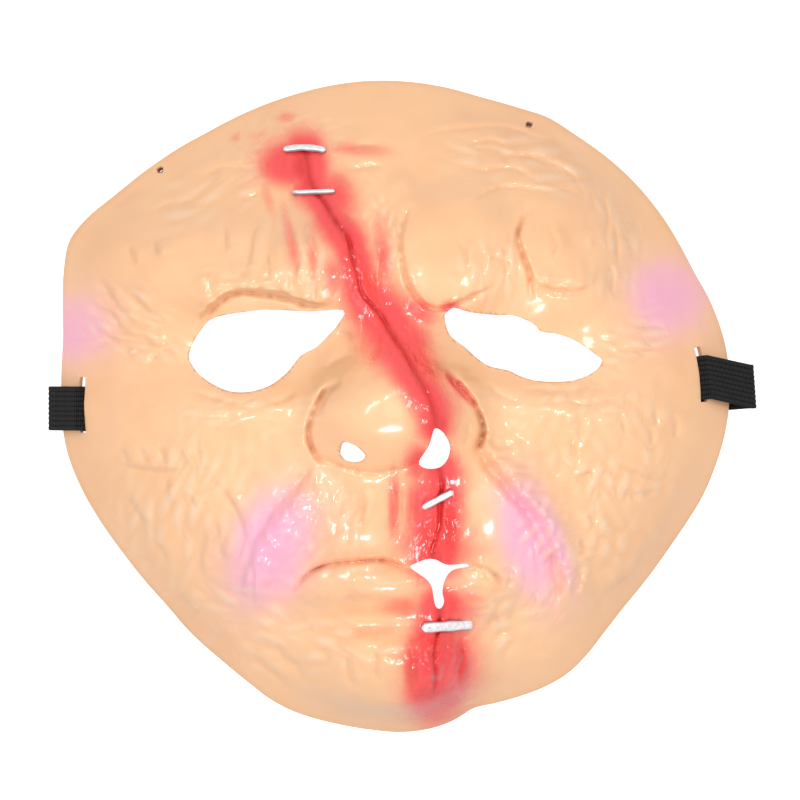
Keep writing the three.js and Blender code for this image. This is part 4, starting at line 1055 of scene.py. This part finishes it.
# Shared grain: uneven spots of a chosen size, as a mask from 0 to 1 on Object coordinates
grain_group = bpy.data.node_groups.new("skin_grain", "ShaderNodeTree")
sockets = grain_group.interface
sockets.new_socket("Scale", in_out="INPUT", socket_type="NodeSocketFloat")
sockets.new_socket("Stretch", in_out="INPUT", socket_type="NodeSocketVector")
sockets.new_socket("Spots", in_out="OUTPUT", socket_type="NodeSocketFloat")
inside = add_node(grain_group, "NodeGroupInput")
place = add_node(grain_group, "ShaderNodeTexCoord")
stretched = add_node(
    grain_group, "ShaderNodeVectorMath", {"operation": "MULTIPLY"},
    {0: place.outputs["Object"], 1: inside.outputs["Stretch"]},
)
noise = add_node(
    grain_group, "ShaderNodeTexNoise", {},
    {"Vector": stretched.outputs[0], "Scale": inside.outputs["Scale"], "Detail": 3.0, "Roughness": 0.55},
)
result = add_node(grain_group, "NodeGroupOutput")
grain_group.links.new(noise.outputs["Fac"], result.inputs["Spots"])


def srgb(red, green, blue):
    """Linear colour of a paint given as 0 to 255."""
    linear = []
    for part in (red / 255, green / 255, blue / 255):
        linear.append(part / 12.92 if part <= 0.04045 else ((part + 0.055) / 1.055) ** 2.4)
    return (*linear, 1)


def new_material(name):
    material = bpy.data.materials.new(name)
    material.use_nodes = True
    return material, material.node_tree, material.node_tree.nodes["Principled BSDF"]


def grain(tree, scale, stretch=(1, 1, 1)):
    """The shared grain at a scale of its own, finer along an axis with a higher stretch."""
    inputs = {"Scale": scale, "Stretch": stretch}
    return add_node(tree, "ShaderNodeGroup", {"node_tree": grain_group}, inputs).outputs["Spots"]


def math_node(tree, operation, first, second, clamp=False):
    settings = {"operation": operation, "use_clamp": clamp}
    return add_node(tree, "ShaderNodeMath", settings, {0: first, 1: second}).outputs[0]


def mix_colour(tree, share, first, second):
    inputs = {0: share, 6: first, 7: second}
    return add_node(tree, "ShaderNodeMix", {"data_type": "RGBA"}, inputs).outputs[2]


def ramp_value(tree, value, low, high):
    """A smooth step from 0 at low to 1 at high."""
    inputs = {"Value": value, "From Min": low, "From Max": high}
    settings = {"interpolation_type": "SMOOTHSTEP"}
    return add_node(tree, "ShaderNodeMapRange", settings, inputs).outputs[0]


def amount_of(tree, name):
    """An amount that is kept on the piece's points."""
    return add_node(tree, "ShaderNodeAttribute", {"attribute_name": name}).outputs["Fac"]


def bump(tree, height, strength, distance, below=None):
    inputs = {"Height": height, "Strength": strength, "Distance": distance}
    if below is not None:
        inputs["Normal"] = below
    return add_node(tree, "ShaderNodeBump", {}, inputs).outputs[0]


SKIN = srgb(255, 199, 150)
SKIN_DARK = srgb(251, 191, 141)
# Pale painted highlight for the crests of the puckered skin
SKIN_PAINTED_HIGHLIGHT = srgb(255, 222, 192)
# Brown painted shade for creases, pucker hollows and cut edges
CREASE_SHADE_BROWN = srgb(170, 104, 70)
PINK_HALO = srgb(255, 192, 186)
PINK_PAINT = srgb(255, 179, 207)
# Dark brown painted shade round the pin holes
PIN_HOLE_SHADE = srgb(150, 98, 62)
RED_PAINT = srgb(255, 80, 80)
RED_DEEP = srgb(228, 40, 38)
RED_DARK = srgb(176, 20, 20)
GRAIN_SHARE = 0.3

skin_material, tree, shader = new_material("painted_skin")


def ragged(tree, name, scale, low, high):
    """A smooth step of an amount, with its edge broken up by the shared grain."""
    grains = math_node(tree, "MULTIPLY", grain(tree, scale), GRAIN_SHARE)
    return ramp_value(tree, math_node(tree, "ADD", amount_of(tree, name), grains), low, high)


def share_of(tree, value, share):
    return math_node(tree, "MULTIPLY", value, share)


red_amount = ragged(tree, "red", scale=130, low=0.15, high=1.05)
deep_amount = ragged(tree, "deep", scale=380, low=0.35, high=1.2)
coats = [
    (ramp_value(tree, grain(tree, scale=38), low=0.4, high=0.8), SKIN_DARK),
    # Painted shade: brown in the creases and along the cut edges
    (share_of(tree, amount_of(tree, "crease_shade"), 0.75), CREASE_SHADE_BROWN),
    (ragged(tree, "pink", scale=60, low=0.1, high=0.9), PINK_HALO),
    (ragged(tree, "pink", scale=60, low=0.4, high=1.2), PINK_PAINT),
    # Painted highlight: pale on the crests of the puckered skin
    (share_of(tree, amount_of(tree, "crest_highlight"), 0.6), SKIN_PAINTED_HIGHLIGHT),
    (red_amount, RED_PAINT),
    (share_of(tree, deep_amount, 0.8), RED_DEEP),
    (share_of(tree, amount_of(tree, "gash"), 0.45), RED_DARK),
    # Painted shade: dark brown round the pin holes
    (amount_of(tree, "hole"), PIN_HOLE_SHADE),
]
colour = SKIN
for share, coat in coats:
    colour = mix_colour(tree, share, colour, coat)

# The gloss is uneven, and wet where the red paint is thick
gloss_range = {"Value": grain(tree, scale=120), "To Min": 0.24, "To Max": 0.38}
uneven_gloss = add_node(tree, "ShaderNodeMapRange", {}, gloss_range).outputs[0]
wet_gloss = math_node(tree, "SUBTRACT", uneven_gloss, share_of(tree, red_amount, 0.14))
wet_coat = math_node(tree, "SUBTRACT", 0.13, share_of(tree, red_amount, 0.09))

# Fine wrinkles run round the face, and the thick red paint stands in lumps
flow_place = add_node(tree, "ShaderNodeAttribute", {"attribute_name": "flow"}).outputs["Vector"]
wrinkle_noise = add_node(
    tree, "ShaderNodeTexNoise", {},
    {"Vector": flow_place, "Scale": 260.0, "Detail": 1.0, "Roughness": 0.4, "Distortion": 0.3},
).outputs["Fac"]
valleys = math_node(tree, "ABSOLUTE", math_node(tree, "SUBTRACT", wrinkle_noise, 0.5), 0)
ridges = math_node(tree, "POWER", math_node(tree, "MULTIPLY", valleys, 4, clamp=True), 0.6)
wrinkles = math_node(tree, "MULTIPLY", ridges, amount_of(tree, "pucker"))
lumps = math_node(tree, "MULTIPLY", grain(tree, scale=210, stretch=(1, 0.35, 0.5)), red_amount)
wrinkled = bump(tree, wrinkles, strength=0.22, distance=0.6 * MM)
set_inputs(tree, shader, {
    "Base Color": colour, "Normal": bump(tree, lumps, strength=0.55, distance=2.5 * MM, below=wrinkled),
    "Roughness": wet_gloss, "Specular IOR Level": 0.45,
    "Coat Weight": 0.75, "Coat Roughness": wet_coat,
    "Subsurface Weight": 0.1, "Subsurface Radius": (0.004, 0.002, 0.001), "Subsurface Scale": 0.5,
})
shell.data.materials.append(skin_material)

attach(shell, "root")
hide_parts("mask_shell")


# The staples: short bars moulded across the scar and painted silver white, each stretched over
# the wall's high spots, with rounded ends that sink into the skin. A row's width is a count of
# the common one, and its bow a share of its length.
STAPLE_WIDTH = 2.4 * MM
STAPLE_THICKNESS = 1.8 * MM
STAPLE_SINK = 0.4 * MM
STAPLE_STEPS = 24
STAPLE_SIDES = 20
STAPLE_END = 0.25
STAPLE_WAVE = 0.06
STAPLE_WAVES = 17
STAPLES = {
    "staple_forehead_upper": {"start": (-0.354, 0.782), "end": (-0.228, 0.78), "width": 1.1, "bow": 0.06},
    "staple_forehead_lower": {"start": (-0.324, 0.648), "end": (-0.2, 0.653), "width": 0.75, "bow": 0},
    "staple_upper_lip": {"start": (0.061, -0.306), "end": (0.151, -0.257), "width": 0.95, "bow": 0},
    "staple_chin": {"start": (0.055, -0.674), "end": (0.207, -0.664), "width": 1.5, "bow": 0},
}

SILVER = srgb(250, 249, 250)
SILVER_DULL = srgb(222, 220, 224)
# Grey painted shade for the bar's sides and underside
SILVER_SIDE_SHADE = srgb(160, 155, 158)
RED_FLECK = srgb(226, 96, 104)

staple_material, tree, shader = new_material("silver_paint")
scuffs = ramp_value(tree, grain(tree, scale=900), low=0.35, high=0.7)
# Painted shade: the bar is darker down its sides and underside than on its top
lit_top = ramp_value(tree, amount_of(tree, "top"), low=0.35, high=0.85)
flecks = ramp_value(tree, grain(tree, scale=620), low=0.66, high=0.72)
colour = mix_colour(tree, lit_top, SILVER_SIDE_SHADE, mix_colour(tree, scuffs, SILVER, SILVER_DULL))
colour = mix_colour(tree, flecks, colour, RED_FLECK)
dents = bump(tree, grain(tree, scale=700), strength=0.35, distance=0.3 * MM)
finish = {"Base Color": colour, "Normal": dents, "Metallic": 0.25, "Roughness": 0.25}
set_inputs(tree, shader, finish)


def taut_line(row):
    """A staple's middle line, stretched over the front surface like a taut string."""
    start = np.array(row["start"]) * (HALF_WIDTH, HALF_HEIGHT)
    end = np.array(row["end"]) * (HALF_WIDTH, HALF_HEIGHT)
    t = np.linspace(0, 1, STAPLE_STEPS + 1)
    span = end - start
    sideways = np.array((-span[1], span[0])) * row["bow"]
    plan = start + np.outer(t, span) + np.outer(4 * t * (1 - t), sideways)
    heights = face_height(plan[:, 0], plan[:, 1])
    taut = heights.copy()
    for i in range(STAPLE_STEPS + 1):
        for a in range(i):
            for b in range(i + 1, STAPLE_STEPS + 1):
                chord = heights[a] + (heights[b] - heights[a]) * (i - a) / (b - a)
                taut[i] = max(taut[i], chord)
    return [Vector((x, y, z)) for (x, y), z in zip(plan, taut)]


def smooth_faces(shape):
    for face in shape.faces:
        face.smooth = True


for name, row in STAPLES.items():
    line = taut_line(row)
    normal = face_normal(line[STAPLE_STEPS // 2].x, line[STAPLE_STEPS // 2].y)
    length = (line[-1] - line[0]).length
    half_width = row["width"] * STAPLE_WIDTH / 2
    shape = bmesh.new()
    bmesh.ops.create_cone(shape, cap_ends=True, segments=STAPLE_SIDES, radius1=1, radius2=1, depth=1)
    rounds = [edge for edge in shape.edges if abs(edge.verts[0].co.z - edge.verts[1].co.z) > 0.5]
    bmesh.ops.subdivide_edges(shape, edges=rounds, cuts=STAPLE_STEPS - 1)
    # How far each point stands up on the bar, which sets its painted shade
    top = shape.verts.layers.float.new("top")
    for vert in shape.verts:
        vert[top] = max(vert.co.y, 0)
        t = min(max(vert.co.z + 0.5, 0), 1)
        station = round(t * STAPLE_STEPS)
        before, after = line[max(station - 1, 0)], line[min(station + 1, STAPLE_STEPS)]
        along = (after - before).normalized()
        across = normal.cross(along).normalized()
        lift = along.cross(across)
        from_end = min(min(t, 1 - t) * length / half_width, 1)
        taper = math.sqrt(1 - (1 - from_end) ** 2) * (1 - STAPLE_END) + STAPLE_END
        uneven = 1 + STAPLE_WAVE * math.sin(STAPLE_WAVES * t + 3 * row["width"])
        middle = line[station] + lift * (STAPLE_THICKNESS / 2 - STAPLE_SINK)
        aside = across * vert.co.x * half_width * taper * uneven
        above = lift * vert.co.y * STAPLE_THICKNESS / 2 * taper
        vert.co = middle + aside + above
    bmesh.ops.recalc_face_normals(shape, faces=shape.faces)
    smooth_faces(shape)
    staple = piece_from(name + "_bar", mesh_from(shape, name))
    staple.data.materials.append(staple_material)
    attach(staple, "root")
    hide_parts(name)


# The strap: one length of black woven elastic with ribs along it. Each end comes up inside the
# slot, goes over the slot's lower lip and down the front, and turns back under the rim.
STRAP_TAIL = 10 * MM
TAIL_SLOPE = 0.25
STRAP_TURN = 1.35 * MM
# It hangs below the slot's middle, by this share of the slot's play
STRAP_SAG = 0.34
BEND_STEPS = 16
STRAP_RIBS = 9
RIB_DEPTH = 0.18 * MM
RIB_CELLS = 6
# Places that it passes below the mask, from right to left, hidden from the front
STRAP_ROUTE = [
    (0.8, 0.042), (0.45, 0.006), (0.1, 0.009), (-0.15, -0.014), (-0.48, -0.03), (-0.8, -0.014),
]
ROUTE_STEPS = 6


def strap_end(slot):
    """Stations of one end of the strap: its middle and the way across it, tail first."""
    middle, out, up, down = slot_frame(slot)
    turn = WALL / 2 + STRAP_PLAY + STRAP_THICKNESS / 2
    lip = middle + down * SLOT_OPENING / 2 - up * STRAP_SAG * SLOT_PLAY
    tail = lip - out * turn
    tail_way = (down - out * TAIL_SLOPE).normalized()
    stations = [(tail + tail_way * STRAP_TAIL * share, up) for share in (1, 0.75, 0.5, 0.25)]
    for angle in np.linspace(0, math.pi, BEND_STEPS + 1):
        stations.append((lip - out * turn * math.cos(angle) - down * turn * math.sin(angle), up))
    # Below the lip it runs straight to the loop round the rim, and then lies level
    leave = stations[-1][0]
    side = math.copysign(1, slot["x"])
    loop = STRAP_TURN + STRAP_THICKNESS / 2
    centre_x = slot["loop_x"] * HALF_WIDTH - side * (STRAP_THICKNESS / 2 + loop)
    centre_z = STRAP_THICKNESS / 2 + loop
    off_x, off_z = (centre_x - leave.x) * side, centre_z - leave.z
    heading = math.atan2(off_z, off_x) + math.asin(loop / math.hypot(off_x, off_z))
    level = level_way(slot)
    arc = []
    for angle in np.linspace(heading + math.pi / 2, -math.pi / 2, BEND_STEPS + 1):
        arc_x = centre_x + side * loop * math.cos(angle)
        arc_z = centre_z + loop * math.sin(angle)
        arc.append(Vector((arc_x, slot["loop_y"] * HALF_HEIGHT, arc_z)))
    for share in (0.25, 0.5, 0.75):
        stations.append((leave.lerp(arc[0], share), up.lerp(level, share).normalized()))
    return stations + [(point, level) for point in arc]


right, left = [strap_end(slot) for slot in SLOTS.values()]
ends = [(point.x / HALF_WIDTH, point.y / HALF_HEIGHT) for point in (right[-1][0], left[-1][0])]
plan = smooth_path([ends[0], *STRAP_ROUTE, ends[1]], ROUTE_STEPS)
floor_run = []
for before, here, after in zip(plan, plan[1:], plan[2:]):
    way = Vector((*(after - before), 0)).normalized()
    floor_run.append((Vector((*here, right[-1][0].z)), Vector((way.y, -way.x, 0))))
stations = right + floor_run + left[::-1]
spans = [(after - before).length for (before, _), (after, _) in zip(stations, stations[1:])]
run = np.concatenate([[0], np.cumsum(spans)])

shape = bmesh.new()
bmesh.ops.create_grid(
    shape, x_segments=len(stations) - 1, y_segments=STRAP_RIBS * RIB_CELLS, size=0.5
)
uv_layer = shape.loops.layers.uv.new("strap")
places = {}
for vert in shape.verts:
    places[vert] = (round((vert.co.x + 0.5) * (len(stations) - 1)), vert.co.y * STRAP_WIDTH)
for face in shape.faces:
    for corner in face.loops:
        station, offset = places[corner.vert]
        corner[uv_layer].uv = (run[station] / MM, offset / MM)
for vert, (station, offset) in places.items():
    point, across = stations[station]
    vert.co = point + across * offset
bmesh.ops.recalc_face_normals(shape, faces=shape.faces)
strap = piece_from("woven_strap", mesh_from(shape, "woven_strap"))
thick = strap.modifiers.new("thick", "SOLIDIFY")
thick.thickness = STRAP_THICKNESS - 2 * RIB_DEPTH
thick.offset = 0
apply_modifiers(strap)

# The ribs stand up from both faces
shape = bmesh.new()
shape.from_mesh(strap.data)
uv_layer = shape.loops.layers.uv["strap"]
shape.normal_update()
for vert in shape.verts:
    across = vert.link_loops[0][uv_layer].uv[1] / (STRAP_WIDTH / MM) + 0.5
    vert.co += vert.normal * RIB_DEPTH * abs(math.sin(math.pi * across * STRAP_RIBS))
smooth_faces(shape)
shape.to_mesh(strap.data)
shape.free()

ELASTIC_BLACK = srgb(22, 21, 22)
# Lighter grey on the weave's thread tops
ELASTIC_LIGHTER = srgb(46, 45, 45)
# Near-black painted shade between the ribs
RIB_GROOVE_SHADE = srgb(9, 9, 9)

strap_material, tree, shader = new_material("black_elastic")
weave_place = add_node(tree, "ShaderNodeUVMap", {"uv_map": "strap"}).outputs[0]
picks = add_node(
    tree, "ShaderNodeTexWave", {"wave_type": "BANDS", "bands_direction": "X"},
    {"Vector": weave_place, "Scale": 0.55, "Distortion": 0.6, "Detail": 1.0},
).outputs["Fac"]
threads = math_node(tree, "MULTIPLY", picks, grain(tree, scale=1500))
across_place = add_node(tree, "ShaderNodeSeparateXYZ", {}, {0: weave_place}).outputs["Y"]
rib_turn = math_node(tree, "MULTIPLY", across_place, math.pi * STRAP_RIBS * MM / STRAP_WIDTH)
rib_top = math_node(tree, "ABSOLUTE", math_node(tree, "COSINE", rib_turn, 0), 0)
thread_tops = ramp_value(tree, threads, low=0.1, high=0.5)
# Painted shade: darker between the ribs than on their tops
unshaded_rib_tops = ramp_value(tree, rib_top, low=0.1, high=0.7)
colour = mix_colour(tree, thread_tops, ELASTIC_BLACK, ELASTIC_LIGHTER)
colour = mix_colour(tree, unshaded_rib_tops, RIB_GROOVE_SHADE, colour)
weave = bump(tree, threads, strength=0.6, distance=0.3 * MM)
set_inputs(tree, shader, {
    "Base Color": colour, "Normal": weave, "Roughness": 0.95, "Specular IOR Level": 0.15,
    "Sheen Weight": 0.08, "Sheen Roughness": 0.5,
})
strap.data.materials.append(strap_material)

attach(strap, "root")
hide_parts("elastic_strap")


# The stage: a pale floor that the camera sees as plain white, five small soft lights above it
# and a white room round it, as in a small product studio
FLOOR_SIZE = 3
FLOOR_DROP = 0.2 * MM
ROOM_LIGHT = 0.65

floor_shape = bmesh.new()
bmesh.ops.create_grid(floor_shape, x_segments=1, y_segments=1, size=FLOOR_SIZE)
floor = piece_from("floor", mesh_from(floor_shape, "floor"))
floor.location.z = -FLOOR_DROP
floor_material, tree, shader = new_material("pale_floor")
seen = add_node(tree, "ShaderNodeLightPath").outputs["Is Camera Ray"]
set_inputs(tree, shader, {
    "Base Color": (0.5, 0.5, 0.5, 1), "Roughness": 0.9,
    "Emission Color": (1, 1, 1, 1), "Emission Strength": seen,
})
floor.data.materials.append(floor_material)

# Sizes in metres and powers in watts, each light turned to the face
LIGHTS = [
    {"name": "overhead", "place": (0.0, -0.05, 1.5), "size": 0.6, "power": 1.2},
    {"name": "key", "place": (-0.22, 0.6, 1.35), "size": 0.22, "power": 4.0},
    {"name": "upper_left", "place": (-0.65, 0.2, 1.0), "size": 0.2, "power": 1.7},
    {"name": "upper_right", "place": (0.65, 0.2, 1.0), "size": 0.2, "power": 1.9},
    {"name": "lower", "place": (0.05, -0.85, 0.85), "size": 0.22, "power": 3.0},
]
for row in LIGHTS:
    light_data = bpy.data.lights.new(row["name"], "AREA")
    light_data.size = row["size"]
    light_data.energy = row["power"]
    light = bpy.data.objects.new(row["name"], light_data)
    light.location = row["place"]
    light.rotation_euler = (-Vector(row["place"])).to_track_quat("-Z", "Y").to_euler()
    scene.collection.objects.link(light)

world = bpy.data.worlds.new("studio")
world.use_nodes = True
background = world.node_tree.nodes["Background"]
background.inputs["Color"].default_value = (1, 1, 1, 1)
background.inputs["Strength"].default_value = ROOM_LIGHT
scene.world = world
scene.view_settings.view_transform = "Standard"
